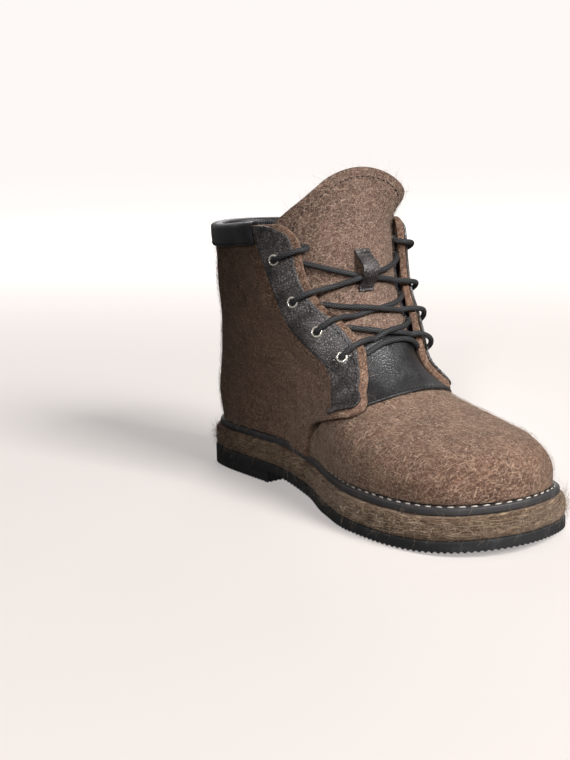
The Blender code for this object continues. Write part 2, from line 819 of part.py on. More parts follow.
def smooth_route(points, count):
    """Even points on a smooth curve through the route's own points."""
    points = np.array(points, float)
    span = np.concatenate([[0], np.cumsum(np.linalg.norm(np.diff(points, axis=0), axis=1))])
    tangent = np.zeros_like(points)
    tangent[1:-1] = (points[2:] - points[:-2]) / (span[2:] - span[:-2])[:, None]
    tangent[0] = (points[1] - points[0]) / (span[1] - span[0])
    tangent[-1] = (points[-1] - points[-2]) / (span[-1] - span[-2])
    at = np.linspace(0, span[-1], count)
    place = np.clip(np.searchsorted(span, at) - 1, 0, len(span) - 2)
    width = (span[place + 1] - span[place])[:, None]
    t = (at - span[place])[:, None] / width
    return (
        points[place] * (1 + 2 * t) * (1 - t) ** 2
        + points[place + 1] * t * t * (3 - 2 * t)
        + width * t * (1 - t) * (tangent[place] * (1 - t) - tangent[place + 1] * t)
    )


def lace_tube(name, route, count):
    """Round lace as a curve with a bevel and filled caps."""
    curve = bpy.data.curves.new(name, "CURVE")
    curve.dimensions = "3D"
    curve.bevel_depth = LACE / 2
    curve.bevel_resolution = 2
    curve.use_fill_caps = True
    spline = curve.splines.new("POLY")
    points = smooth_route(route, count)
    spline.points.add(len(points) - 1)
    for point, place in zip(spline.points, points):
        point.co = (*(place + np.array([CENTRE_SHIFT, 0, 0])), 1)
    item = bpy.data.objects.new(name, curve)
    item.data.materials.append(material("cord", *FINISHES["cord"]))
    bpy.data.collections["felt_boot"].objects.link(item)
    return item


def as_mesh(item):
    """The curve object made a welded mesh in its place."""
    mesh = bpy.data.meshes.new_from_object(item.evaluated_get(
        bpy.context.evaluated_depsgraph_get()))
    shape = bmesh.new()
    shape.from_mesh(mesh)
    bmesh.ops.remove_doubles(shape, verts=shape.verts, dist=1e-6)
    bmesh.ops.recalc_face_normals(shape, faces=shape.faces)
    shape.to_mesh(mesh)
    shape.free()
    made = bpy.data.objects.new(item.name + "_solid", mesh)
    made.matrix_world = item.matrix_world
    bpy.data.objects.remove(item, do_unlink=True)
    return made


def edge_turn(side, z):
    return side * float(turn_at(edge_y(z, side), z))


def lace_start(side, number, climb):
    """The lace from the front of an eyelet to just past the edge of its flap."""
    y, z = eyelet_place(side, number)
    edge = float(edge_y(z + climb, side))
    over = LEATHER_SEAT + LEATHER + 2 * CLEARANCE + LACE / 2
    height = over + EYELET_RISE
    route = [place_on_quarter(side, y + (edge - y) * 0.12, z + 0.0003, height)[0]]
    route.append(place_on_quarter(side, y + (edge - y) * 0.45, z + 0.4 * climb, height)[0])
    route.append(place_on_quarter(side, y + (edge - y) * 0.85, z + 0.8 * climb, over)[0])
    return route


def crossing_route(side, number, over):
    """One strand from a lower eyelet to under the opposite flap beside the next eyelet."""
    climb, tuck = CROSSINGS[number]
    route = lace_start(side, number + 1, climb)
    low = EYELETS[number + 1][0] * COLLAR_HEIGHT + climb
    high = EYELETS[number][0] * COLLAR_HEIGHT + tuck
    first = edge_turn(side, low)
    last = edge_turn(-side, high)
    bed = LACE / 2 + 2 * CLEARANCE
    for share in np.linspace(0.09, 0.97, 9):
        z = low + (high - low) * share
        turn = first + (last - first) * share
        rest = bed + (LEATHER + LEATHER_SEAT) * float(ease((BASE_TOP + 0.004 - z) / 0.004))
        drop = (FLAP_LIFT - bed) * float(ease((0.19 - share) / 0.16))
        near = math.exp(-((share - CROSSING_SHARE[side]) / 0.16) ** 2)
        stack = (LACE - CLEARANCE) * near if over else 0
        route.append(form_offset(turn, z, rest + drop + stack))
    return route


def build_laces():
    for number in range(len(EYELETS) - 1):
        strands = []
        for name, side in SIDES:
            route = crossing_route(side, number, over=(side < 0) == (number % 2 == 0))
            strands.append(as_mesh(lace_tube(f"lace_{name}_{number}", route, 13)))
        bottom, top = strands
        bpy.data.collections["felt_boot"].objects.link(bottom)
        bottom.name = f"lace_crossing_{number + 1}"
        bottom.data.materials.clear()
        bottom.data.materials.append(material("cord", *FINISHES["cord"]))
        bpy.data.collections["cutters"].objects.link(top)
        top.hide_render = True
        top.display_type = "WIRE"
        combine(bottom, top, "UNION")
    z = EYELETS[-1][0] * COLLAR_HEIGHT + BAR_RISE
    bed = LACE / 2 + LEATHER_SEAT + LEATHER + CLEARANCE
    ends = [0.97 * edge_turn(side, z) for _, side in SIDES]
    bar = [
        form_offset(turn, z + BAR_ARCH * (1 - (2 * share - 1) ** 2), bed)
        for share, turn in zip(np.linspace(0, 1, 8), np.linspace(*ends, 8))
    ]
    lace_tube("lace_bar", bar, 9)
    for name, side in SIDES:
        route = lace_start(side, 0, CROSSINGS[0][0])
        z = EYELETS[0][0] * COLLAR_HEIGHT
        edge = edge_turn(side, z)
        route.append(form_offset(edge - side * 0.05, z + 0.0060, FLAP_LIFT))
        route.append(form_offset(edge - side * 0.05, z + 0.0070, LACE / 2 + 2 * CLEARANCE))
        route.append(form_offset(edge + side * 0.04, z + 0.0080, LACE / 2 + CLEARANCE))
        route.append(form_offset(edge + side * 0.13, z + 0.0085, LACE / 2 + CLEARANCE))
        lace_tube(f"lace_end_{name}", route, 13)


def main():
    clear_scene()
    boot = bpy.data.collections.new("felt_boot")
    bpy.context.scene.collection.children.link(boot)
    cutters = bpy.data.collections.new("cutters")
    bpy.context.scene.collection.children.link(cutters)
    build_sole()
    upper = build_upper()
    build_tongue()
    build_facings()
    build_binding()
    build_eyelets(upper)
    build_loop()
    build_laces()


main()
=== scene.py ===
import math
import random

import bmesh
import bpy
import numpy as np
from mathutils import Matrix, Vector, noise


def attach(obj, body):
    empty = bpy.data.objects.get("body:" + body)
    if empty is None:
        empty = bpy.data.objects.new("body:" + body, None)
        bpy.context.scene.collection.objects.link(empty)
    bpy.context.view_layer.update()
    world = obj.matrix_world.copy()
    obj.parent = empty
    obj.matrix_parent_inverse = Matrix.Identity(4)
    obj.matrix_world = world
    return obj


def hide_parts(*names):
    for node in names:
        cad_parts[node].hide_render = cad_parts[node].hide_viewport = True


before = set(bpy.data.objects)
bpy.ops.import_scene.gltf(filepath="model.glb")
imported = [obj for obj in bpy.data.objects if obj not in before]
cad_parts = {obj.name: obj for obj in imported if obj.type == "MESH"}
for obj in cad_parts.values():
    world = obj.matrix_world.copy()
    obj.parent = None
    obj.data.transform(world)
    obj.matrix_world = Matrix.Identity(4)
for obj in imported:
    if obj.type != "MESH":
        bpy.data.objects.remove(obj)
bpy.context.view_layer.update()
print("frame loaded")

# Felt ankle boot, left foot: toe toward -Y, medial side toward -X, metres.

# Driving sizes in metres
soleLength = 0.272
ballWidth = 0.112
toeSpring = 0.005
heelLift = 0.006
outsoleHeight = 0.006
midsoleHeight = 0.012
weltHeight = 0.004
weltInset = 0.0035
weltShelf = 0.0035
weltBand = 0.014
flapCorner = 0.010
feltThickness = 0.004
leatherThickness = 0.0012
clearance = 0.0003
leatherSeat = 0.0008
leatherSkin = leatherSeat + leatherThickness
toeHeight = 0.0580
collarHeight = 0.158
collarDip = 0.005
tongueHeight = 0.189
ankleWidth = 0.083
flapLift = 0.0076
flapReach = 0.048
facingSetback = 0.0028
bindingHeight = 0.011
eyeletHole = 0.0019
eyeletFlange = 0.0034
eyeletRise = 0.0008
eyeletBore = 0.0026
laceWidth = 0.0031
loopWidth = 0.010
loopLength = 0.024
cornerLift = 0.0062
tongueShoulder = 0.151
tongueFree = (0.153, 0.180)
tongueFlatten = 0.65
tongueTwist = math.radians(8)
facingFoot = (0.362, 0.347)
facingTop = 0.1572
fanStation = 0.47
throatAngle = math.radians(52)
baseAngles = (math.radians(41), math.radians(74.5))
baseSpread = (math.radians(35), math.radians(23))
innerPoint = (0.040, 0.030)
loopMiddle = 0.828
loopBow = 0.0072
barRise = 0.003
barArch = 0.006
baseTop = 0.0965
tongueLean = 0.006
vampWing = 0.030
flapOpening = 1.2
crossingShare = {-1: 0.44, 1: 0.56}
heelBreast = 0.30
forefootFlat = (0.52, 0.79)

cornerDepth = 0.65             # cut of the flap's top corner, as a share of its reach
collarSlope = (0.03, 0.07)     # y where the collar's dip starts, and its run
frontOpening = (0.066, 0.040)  # height where the lateral front widens, and its run
footBody = {"swell": 0.16, "power": 2.6, "root": 2.4, "blendFrom": 0.80, "blendRun": 0.75}
flapFades = {
    "reach": (0.55, 0.45), "reachRise": (0.06, 0.03), "fade": (0.45, 0.55),
    "corner": (0.048, 0.009), "flap": (0.065, 0.020),
}
crossingSizes = {
    "span": (0.09, 0.97), "points": 9, "stepDown": 0.004, "leave": (0.19, 0.16), "near": 0.16,
}

# Sole outline: station as a share of the length from the heel,
# medial and lateral half widths as shares of the ball width
outlineTable = (
    (0.000, 0.000, 0.000),
    (0.030, 0.182, 0.178),
    (0.080, 0.264, 0.264),
    (0.150, 0.291, 0.304),
    (0.230, 0.297, 0.322),
    (0.350, 0.301, 0.344),
    (0.450, 0.325, 0.371),
    (0.560, 0.432, 0.426),
    (0.680, 0.516, 0.475),
    (0.760, 0.524, 0.474),
    (0.840, 0.500, 0.435),
    (0.910, 0.436, 0.342),
    (0.960, 0.330, 0.245),
    (1.000, 0.071, -0.071),
)

# Front profile of the upper and tongue: station along the upper, then the height
# as a share of the toe height and a share of the rise from toe to tongue top
frontTable = (
    (0.440, 1.000, 1.150),
    (0.456, 1.000, 1.000),
    (0.472, 1.000, 0.770),
    (0.482, 1.000, 0.630),
    (0.496, 1.000, 0.460),
    (0.530, 1.000, 0.335),
    (0.562, 1.000, 0.250),
    (0.600, 1.000, 0.155),
    (0.640, 1.000, 0.085),
    (0.720, 1.000, 0.030),
    (0.800, 0.990, 0.000),
    (0.870, 0.955, 0.000),
    (0.920, 0.905, 0.000),
    (0.960, 0.830, 0.000),
    (0.985, 0.735, 0.000),
    (1.000, 0.600, 0.000),
)

# Back profile: height as a share of the collar height, bulge as a share of the length
backTable = (
    (0.00, 0.000),
    (0.15, 0.002),
    (0.32, 0.016),
    (0.50, 0.008),
    (0.67, -0.008),
    (0.83, -0.010),
    (1.00, -0.004),
    (1.40, 0.005),
)

# Half width of the shaft: height as a share of the collar height, share of the ankle width
shaftTable = (
    (0.00, 0.440),
    (0.40, 0.440),
    (0.54, 0.455),
    (0.65, 0.480),
    (0.75, 0.500),
    (0.90, 0.505),
    (1.00, 0.512),
    (1.30, 0.530),
)

# Front edge of the medial quarter: height as a share of the collar height, station
# along the upper
quarterEdge = (
    (0.000, 0.440),
    (0.140, 0.440),
    (0.220, 0.448),
    (0.270, 0.467),
    (0.300, 0.500),
    (0.328, 0.570),
    (0.345, 0.630),
    (0.370, 0.648),
    (0.416, 0.616),
    (0.490, 0.577),
    (0.562, 0.547),
    (0.598, 0.527),
    (0.648, 0.497),
    (0.698, 0.465),
    (0.760, 0.440),
    (0.848, 0.422),
    (0.930, 0.413),
    (1.000, 0.390),
)

# How much farther forward the lateral flap, facing and eyelets sit: height share, station
lateralShift = (
    (0.000, 0.000),
    (0.270, -0.008),
    (0.345, -0.055),
    (0.370, -0.052),
    (0.416, -0.034),
    (0.490, -0.018),
    (0.562, -0.008),
    (0.648, 0.002),
    (0.760, 0.018),
    (1.000, 0.033),
)

# Rear edge of the leather facings: height share, station
facingRear = (
    (0.330, 0.590),
    (0.400, 0.562),
    (0.475, 0.517),
    (0.550, 0.464),
    (0.634, 0.412),
    (0.713, 0.383),
    (0.813, 0.358),
    (0.918, 0.334),
    (1.000, 0.322),
)

# Eyelets from the top: height share, station
eyeletTable = (
    (0.872, 0.372),
    (0.720, 0.413),
    (0.612, 0.470),
    (0.516, 0.532),
)

# Laces from the top crossing down: climb over the flap it starts from, and how far
# above the next eyelet it tucks under the other flap
crossings = (
    (0.0060, -0.0020),
    (0.0070, -0.0010),
    (0.0085, 0.0030),
)

# Half width of the tongue: height share, share of the ankle width
tongueTable = (
    (0.35, 0.27),
    (0.45, 0.29),
    (0.60, 0.35),
    (0.75, 0.41),
    (0.95, 0.44),
    (1.10, 0.48),
    (1.30, 0.48),
)

bootSides = (("medial", -1), ("lateral", 1))
rungCount = 150       # steps along each side of the sole's outline
fanHalvings = 44      # halvings that find where a ray leaves the form
probeStep = 0.0015    # spacing of the points that read a surface's outward side
probeTurn = 0.03
widest = [max(row[index] for row in outlineTable) for index in (1, 2)]
centreShift = ballWidth * (widest[0] - widest[1]) / 2
upperInset = weltInset + weltShelf
upperLength = soleLength - 2 * upperInset
upperScale = (ballWidth - 2 * upperInset) / ballWidth


def ease(value):
    value = np.clip(value, 0, 1)
    return value * value * (3 - 2 * value)


def hermite(values, slopes, place, width, t):
    return (
        values[place] * (1 + 2 * t) * (1 - t) ** 2
        + values[place + 1] * t * t * (3 - 2 * t)
        + width * t * (1 - t) * (slopes[place] * (1 - t) - slopes[place + 1] * t)
    )


def along(xs, ys, at):
    xs = np.asarray(xs, float)
    ys = np.asarray(ys, float)
    at = np.clip(np.asarray(at, float), xs[0], xs[-1])
    step = np.diff(xs)
    slope = np.diff(ys) / step
    product = slope[:-1] * slope[1:]
    total = slope[:-1] + slope[1:]
    tangent = np.zeros(len(xs))
    tangent[1:-1] = np.where(product > 0, 2 * product / np.where(total == 0, 1, total), 0)
    tangent[0] = slope[0]
    tangent[-1] = slope[-1]
    place = np.clip(np.searchsorted(xs, at) - 1, 0, len(step) - 1)
    width = step[place]
    t = (at - xs[place]) / width
    return hermite(ys, tangent, place, width, t)


def column(rows, index):
    return [row[index] for row in rows]


def fromTable(table, at):
    return along(column(table, 0), column(table, 1), at)


def outlineWidth(station, side):
    angles = [math.acos(1 - 2 * row[0]) for row in outlineTable]
    angle = np.arccos(np.clip(1 - 2 * np.asarray(station, float), -1, 1))
    return ballWidth * along(angles, column(outlineTable, 1 if side < 0 else 2), angle)


def soleRise(y):
    station = 0.5 - np.asarray(y, float) / soleLength
    heel = 1 - ease((station - heelBreast) / (forefootFlat[0] - heelBreast))
    toe = np.clip((station - forefootFlat[1]) / (1 - forefootFlat[1]), 0, 1)
    return (heelLift + clearance) * heel + toeSpring * toe ** 2


def feather(y):
    return soleRise(y) + outsoleHeight + midsoleHeight + weltHeight + 3 * clearance


def upperY(station):
    return upperLength * (0.5 - np.asarray(station, float))


profileY = np.linspace(-upperLength / 2, upperY(frontTable[0][0]), 600)
profileZ = along(
    column(frontTable, 0),
    [toeHeight * row[1] + (tongueHeight - toeHeight) * row[2] for row in frontTable],
    0.5 - profileY / upperLength,
)


def frontY(z):
    return np.interp(z, profileZ, profileY)


def backY(z):
    share = np.asarray(z, float) / collarHeight
    return upperLength / 2 + soleLength * fromTable(backTable, share)


def frontPower(z, side):
    opened = ease((z - frontOpening[0]) / frontOpening[1]) * (np.asarray(side) > 0)
    return 2 + flapOpening * opened


def shaftHalf(z):
    return ankleWidth * fromTable(shaftTable, z / collarHeight)


def formWidth(y, z, side):
    y = np.asarray(y, float)
    z = np.asarray(z, float)
    front = frontY(z)
    back = backY(z)
    stretched = np.where(y > 0, y * upperLength / 2 / back, y)
    foot = upperScale * outlineWidth(0.5 - stretched / upperLength, side) + 0.0 * z
    low = feather(y)
    top = np.interp(y, profileY, profileZ)
    rise = np.clip((z - low) / (top - low), 0, 1)
    swell = 1 + footBody["swell"] * rise * (1 - rise)
    foot = foot * (1 - rise ** footBody["power"]) ** (1 / footBody["root"]) * swell
    place = np.clip(((back + front) / 2 - y) / ((back - front) / 2), -1, 1)
    power = np.where(place > 0, frontPower(z, side), 2)
    shaft = shaftHalf(z) * (1 - np.abs(place) ** power) ** (1 / power)
    blend = ease((z - toeHeight * footBody["blendFrom"]) / (toeHeight * footBody["blendRun"]))
    return foot * (1 - blend) + shaft * blend


def formPoint(turn, z):
    turn = np.asarray(turn, float)
    z = np.asarray(z, float) + 0.0 * turn
    front = frontY(z)
    back = backY(z)
    y = (front + back) / 2 - (back - front) / 2 * np.cos(turn)
    width = np.where(turn < 0, formWidth(y, z, -1), formWidth(y, z, 1))
    return np.stack([np.sign(np.sin(turn)) * width, y, z], axis=-1)


def turnAt(y, z):
    front = frontY(z)
    back = backY(z)
    return np.arccos(np.clip(((front + back) / 2 - y) / ((back - front) / 2), -1, 1))


def unit(ways):
    return ways / np.linalg.norm(ways, axis=-1, keepdims=True)


def normals(points):
    normal = unit(np.cross(np.gradient(points, axis=0), np.gradient(points, axis=1)))
    outward = points - np.array([0, *innerPoint])
    return normal * np.sign(np.sum(normal * outward))


def ringOf(inset):
    # the sole's outline as one ring, from the heel along the medial side and back
    angle = np.linspace(0, math.pi, rungCount + 1)
    station = (1 - np.cos(angle)) / 2
    y = soleLength * (0.5 - station)
    medial = np.stack([-outlineWidth(station, -1), y], axis=-1)
    lateral = np.stack([outlineWidth(station, 1), y], axis=-1)
    loop = np.vstack([medial, lateral[-2:0:-1]])
    tangent = np.roll(loop, -1, axis=0) - np.roll(loop, 1, axis=0)
    normal = unit(np.stack([-tangent[:, 1], tangent[:, 0]], axis=-1))
    outward = np.sign(np.sum(normal * (loop - loop.mean(axis=0)), axis=-1).mean())
    return loop - normal * outward * inset


def lineY(table, z, side):
    share = np.asarray(z, float) / collarHeight
    shift = fromTable(lateralShift, share) * (np.asarray(side) > 0)
    return upperY(fromTable(table, share) + shift)


def edgeY(z, side):
    return lineY(quarterEdge, z, side)


def collarZ(y):
    back = ease((np.asarray(y, float) - collarSlope[0]) / collarSlope[1])
    return collarHeight - collarDip * back


def riseFrom(z, name):
    start, run = flapFades[name]
    return ease((z - start) / run)


def liftAt(points):
    # how far the quarters stand off the form: over the vamp's edge, and at the flaps
    x, y, z = np.moveaxis(points, -1, 0)
    behind = y - edgeY(z, x)
    reach = flapReach * (flapFades["reach"][0] + flapFades["reach"][1] * riseFrom(z, "reachRise"))
    start, run = flapFades["fade"]
    fade = 1 - ease((behind - start * reach) / (run * reach))
    seam = feltThickness - clearance
    corner = (cornerLift - seam) * riseFrom(z, "corner")
    flap = (flapLift - cornerLift) * riseFrom(z, "flap")
    return fade * (seam + corner + flap)


def sideGrid(turns, heights, offset):
    points = formPoint(turns, heights)
    lift = liftAt(points) + offset
    return points + normals(points) * lift[..., None]


def cornerDrop(distance):
    # the flap's top front corner is cut round
    away = 1 - np.clip(distance / flapCorner, 0, 1)
    return cornerDepth * flapCorner * away ** 2


def quarterRow(share, spread):
    # turns and heights of one row, from the medial edge round the heel to the lateral one
    floor = feather(0)
    z = np.full(len(spread), floor + (collarHeight - floor) * share)
    order = np.arange(len(spread))
    for _ in range(4):
        medial = -turnAt(edgeY(z[0], -1), z[0])
        lateral = turnAt(edgeY(z[-1], 1), z[-1])
        around = lateral - medial - 2 * math.pi
        turn = medial + around * spread
        turn = np.where(turn < -math.pi, turn + 2 * math.pi, turn)
        y = formPoint(turn, z)[..., 1]
        fromMedial = np.abs(y - edgeY(z[0], -1)) + (order > len(y) / 2)
        fromLateral = np.abs(y - edgeY(z[-1], 1)) + (order < len(y) / 2)
        top = collarZ(y) - cornerDrop(np.minimum(fromMedial, fromLateral))
        z = feather(y) + (top - feather(y)) * share
    return turn, z


def hingeY(cosine):
    return upperY(fanStation) + vampWing * cosine ** 4


def fanGrid(angles, spreads):
    # rows of points where rays from the hinge line leave the form
    angles = np.asarray(angles)[:, None] + 0 * spreads
    way = np.stack([
        -np.cos(spreads),
        -np.sin(spreads) * np.cos(angles),
        np.sin(spreads) * np.sin(angles),
    ], axis=-1)
    hinge = hingeY(np.cos(spreads))
    near = np.zeros(angles.shape)
    far = np.full(angles.shape, soleLength)
    for _ in range(fanHalvings):
        reach = (near + far) / 2
        place = way * reach[..., None]
        place[..., 1] += hinge
        place[..., 2] += feather(place[..., 1])
        x, y, z = np.moveaxis(place, -1, 0)
        width = np.where(x < 0, formWidth(y, z, -1), formWidth(y, z, 1))
        outside = (np.abs(x) > width) | (y < frontY(z))
        far = np.where(outside, reach, far)
        near = np.where(outside, near, reach)
    return place


def turnAcross(x, z):
    power = frontPower(z, x)
    share = np.clip(np.abs(x) / shaftHalf(z), 0, 0.99)
    return np.sign(x) * np.arccos((1 - share ** power) ** (1 / power))


def tongueTurn(across, z):
    half = ankleWidth * fromTable(tongueTable, z / collarHeight)
    return turnAcross(across * half, z)


def stencil(middle, step, axis):
    # three by three values round one, stepped along one axis
    steps = np.array([-step, 0, step])
    return middle + np.expand_dims(steps, 1 - axis) + np.zeros((3, 3))


def placeOnQuarter(side, y, z, offset):
    heights = stencil(z, probeStep, 0)
    points = formPoint(side * turnAt(stencil(y, probeStep, 1), heights), heights)
    lifted = points + normals(points) * liftAt(points)[..., None]
    normal = normals(lifted)[1, 1]
    if normal[0] * side < 0:
        normal = -normal
    return lifted[1, 1] + normal * offset, normal


def eyeletPlace(side, number):
    z = eyeletTable[number][0] * collarHeight
    return float(lineY(sorted(eyeletTable), z, side)), z


def formOffset(turn, z, offset):
    points = formPoint(stencil(turn, probeTurn, 1), stencil(z, probeStep, 0))
    return points[1, 1] + normals(points)[1, 1] * offset


def smoothRoute(points, count):
    points = np.array(points, float)
    span = np.concatenate([[0], np.cumsum(np.linalg.norm(np.diff(points, axis=0), axis=1))])
    tangent = np.zeros_like(points)
    tangent[1:-1] = (points[2:] - points[:-2]) / (span[2:] - span[:-2])[:, None]
    tangent[0] = (points[1] - points[0]) / (span[1] - span[0])
    tangent[-1] = (points[-1] - points[-2]) / (span[-1] - span[-2])
    at = np.linspace(0, span[-1], count)
    place = np.clip(np.searchsorted(span, at) - 1, 0, len(span) - 2)
    width = (span[place + 1] - span[place])[:, None]
    t = (at - span[place])[:, None] / width
    return hermite(points, tangent, place, width, t)


def edgeTurn(side, z):
    return side * float(turnAt(edgeY(z, side), z))


def laceStart(side, number, climb):
    # up out of an eyelet and along to the flap's edge
    y, z = eyeletPlace(side, number)
    edge = float(edgeY(z + climb, side))
    over = leatherSkin + 2 * clearance + laceWidth / 2
    high = over + eyeletRise
    # share of the way to the edge, rise and height over the felt
    steps = ((0.12, 0.0003, high), (0.45, 0.4 * climb, high), (0.85, 0.8 * climb, over))
    return [placeOnQuarter(side, y + (edge - y) * share, z + rise, lift)[0]
            for share, rise, lift in steps]


def crossingRoute(side, number, over):
    # from one eyelet over the tongue to the edge of the other flap, one row higher
    climb, tuck = crossings[number]
    route = laceStart(side, number + 1, climb)
    low = eyeletTable[number + 1][0] * collarHeight + climb
    high = eyeletTable[number][0] * collarHeight + tuck
    first = edgeTurn(side, low)
    last = edgeTurn(-side, high)
    bed = laceWidth / 2 + 2 * clearance
    down = crossingSizes["stepDown"]
    leave, run = crossingSizes["leave"]
    for share in np.linspace(*crossingSizes["span"], crossingSizes["points"]):
        z = low + (high - low) * share
        turn = first + (last - first) * share
        rest = bed + leatherSkin * float(ease((baseTop + down - z) / down))
        drop = (flapLift - bed) * float(ease((leave - share) / run))
        near = math.exp(-((share - crossingShare[side]) / crossingSizes["near"]) ** 2)
        stack = (laceWidth - clearance) * near if over else 0
        route.append(formOffset(turn, z, rest + drop + stack))
    return route


# shader building blocks
def addNode(tree, kind, values=None, **settings):
    made = tree.nodes.new(kind)
    for key, value in settings.items():
        setattr(made, key, value)
    for key, value in (values or {}).items():
        if isinstance(value, bpy.types.NodeSocket):
            tree.links.new(value, made.inputs[key])
        else:
            made.inputs[key].default_value = value
    return made


def newGroup(name, inputs, outputs):
    tree = bpy.data.node_groups.new(name, "ShaderNodeTree")
    for label, kind, value in inputs:
        socket = tree.interface.new_socket(label, in_out="INPUT", socket_type=kind)
        if value is not None:
            socket.default_value = value
    for label, kind in outputs:
        tree.interface.new_socket(label, in_out="OUTPUT", socket_type=kind)
    return tree, tree.nodes.new("NodeGroupInput"), tree.nodes.new("NodeGroupOutput")


def closeGroup(tree, target, **results):
    for label, socket in results.items():
        tree.links.new(socket, target.inputs[label])
    return tree


def calculate(tree, operation, *values):
    made = addNode(tree, "ShaderNodeMath", dict(enumerate(values)), operation=operation)
    return made.outputs[0]


def remap(tree, value, low, high, start=0, end=1, kind="LINEAR"):
    made = addNode(tree, "ShaderNodeMapRange", {
        "Value": value, "From Min": low, "From Max": high, "To Min": start, "To Max": end,
    }, interpolation_type=kind)
    return made.outputs["Result"]


def smoothMask(tree, value, low, high):
    return remap(tree, value, low, high, kind="SMOOTHSTEP")


def mixColor(tree, factor, first, second, blend="MIX"):
    made = addNode(tree, "ShaderNodeMix", {0: factor, 6: first, 7: second},
                   data_type="RGBA", blend_type=blend)
    return made.outputs[2]


def addNoise(tree, place, scale, detail, roughness=0.5, distortion=0, output="Fac"):
    return addNode(tree, "ShaderNodeTexNoise", {
        "Vector": place, "Scale": scale, "Detail": detail,
        "Roughness": roughness, "Distortion": distortion,
    }).outputs[output]


# Noise entries are scale, detail, roughness and distortion. Masks and shades are the range
# that is read, and after it the range that comes out, where that isn't 0 to 1.
fibreSizes = {
    "mottle": (75, 3, 0.6, 0.5), "mottleShade": (0.3, 0.7, 0.70, 1.25),
    "grain": (800, 4, 0.75, 1.2), "grainMask": (0.30, 0.58), "grainHeight": 0.6,
    "stroke": (1050, 1.5, 0.6, 0.6), "strokeStretch": (1, 1, 9), "strokeMask": (0.60, 0.76),
    "strokeHeight": 0.5, "shadowMask": (0.42, 0.30), "shadow": 0.75,
    "turns": ((0.3, 0.2, 0.1), (1.2, 0.5, 0.9), (0.4, 1.4, 2.2), (2.1, 0.9, 0.3),
              (1.6, 0.1, 1.3), (0.1, 1.1, 0.6), (2.6, 2.2, 1.9)),
}


def feltFibreGroup():
    # matted fibres: soft mottling, fine grain, and pale strokes that lie every way
    tree, source, target = newGroup("feltFibres", (
        ("Vector", "NodeSocketVector", None),
        ("Dark", "NodeSocketColor", (0.05, 0.03, 0.02, 1)),
        ("Middle", "NodeSocketColor", (0.15, 0.1, 0.07, 1)),
        ("Light", "NodeSocketColor", (0.4, 0.3, 0.22, 1)),
        ("Fleck", "NodeSocketFloat", 0.5),
        ("Stretch", "NodeSocketVector", (1, 1, 1)),
    ), (("Color", "NodeSocketColor"), ("Height", "NodeSocketFloat")))
    place = addNode(tree, "ShaderNodeVectorMath", {
        0: source.outputs["Vector"], 1: source.outputs["Stretch"],
    }, operation="MULTIPLY").outputs[0]
    mottle = addNoise(tree, place, *fibreSizes["mottle"])
    grain = addNoise(tree, place, *fibreSizes["grain"])
    strokes, shadows = None, None
    for turn in fibreSizes["turns"]:
        turned = addNode(tree, "ShaderNodeMapping", {
            "Vector": place, "Rotation": turn, "Scale": fibreSizes["strokeStretch"],
        }, vector_type="TEXTURE").outputs[0]
        thread = addNoise(tree, turned, *fibreSizes["stroke"])
        stroke = smoothMask(tree, thread, *fibreSizes["strokeMask"])
        shadow = smoothMask(tree, thread, *fibreSizes["shadowMask"])
        strokes = stroke if strokes is None else calculate(tree, "MAXIMUM", strokes, stroke)
        shadows = shadow if shadows is None else calculate(tree, "MAXIMUM", shadows, shadow)
    dark, middle, light, fleck = (source.outputs[label]
                                  for label in ("Dark", "Middle", "Light", "Fleck"))
    body = mixColor(tree, smoothMask(tree, grain, *fibreSizes["grainMask"]), dark, middle)
    body = mixColor(tree, calculate(tree, "MULTIPLY", shadows, fibreSizes["shadow"]), body, dark)
    shade = remap(tree, mottle, *fibreSizes["mottleShade"])
    body = mixColor(tree, 1.0, body, shade, "MULTIPLY")
    color = mixColor(tree, calculate(tree, "MULTIPLY", strokes, fleck), body, light)
    height = calculate(tree, "ADD", calculate(tree, "MULTIPLY", grain, fibreSizes["grainHeight"]),
                       calculate(tree, "MULTIPLY", strokes, fibreSizes["strokeHeight"]))
    return closeGroup(tree, target, Color=color, Height=height)


pebbleSizes = {"warp": (240, 2), "push": (0.0016, 0.0016, 0.0016), "valley": (0.0, 0.32),
               "pores": (2600, 2), "poreHeight": 0.18, "haze": (90, 3)}


def leatherPebbleGroup():
    # rounded pebbles between fine valleys, with small pores; the Valley output marks the valleys,
    # where the leather colour is darkened as painted shade
    tree, source, target = newGroup("leatherPebbles", (
        ("Vector", "NodeSocketVector", None),
        ("Scale", "NodeSocketFloat", 700.0),
    ), (("Height", "NodeSocketFloat"), ("Valley", "NodeSocketFloat"), ("Haze", "NodeSocketFloat")))
    place = source.outputs["Vector"]
    warp = addNoise(tree, place, *pebbleSizes["warp"], output="Color")
    push = addNode(tree, "ShaderNodeVectorMath", {0: warp, 1: pebbleSizes["push"]},
                   operation="MULTIPLY").outputs[0]
    pushed = addNode(tree, "ShaderNodeVectorMath", {0: place, 1: push},
                     operation="ADD").outputs[0]
    cells = addNode(tree, "ShaderNodeTexVoronoi", {
        "Vector": pushed, "Scale": source.outputs["Scale"], "Randomness": 1.0,
    }, feature="DISTANCE_TO_EDGE").outputs["Distance"]
    pebble = smoothMask(tree, cells, *pebbleSizes["valley"])
    pores = addNoise(tree, place, *pebbleSizes["pores"])
    raised = calculate(tree, "MULTIPLY", pores, pebbleSizes["poreHeight"])
    return closeGroup(tree, target, Height=calculate(tree, "ADD", pebble, raised),
                      Valley=pebble, Haze=addNoise(tree, place, *pebbleSizes["haze"]))


scuffSizes = {"dust": (5, 0.65), "dustMask": (0.5, 0.75), "grain": (1500, 3)}


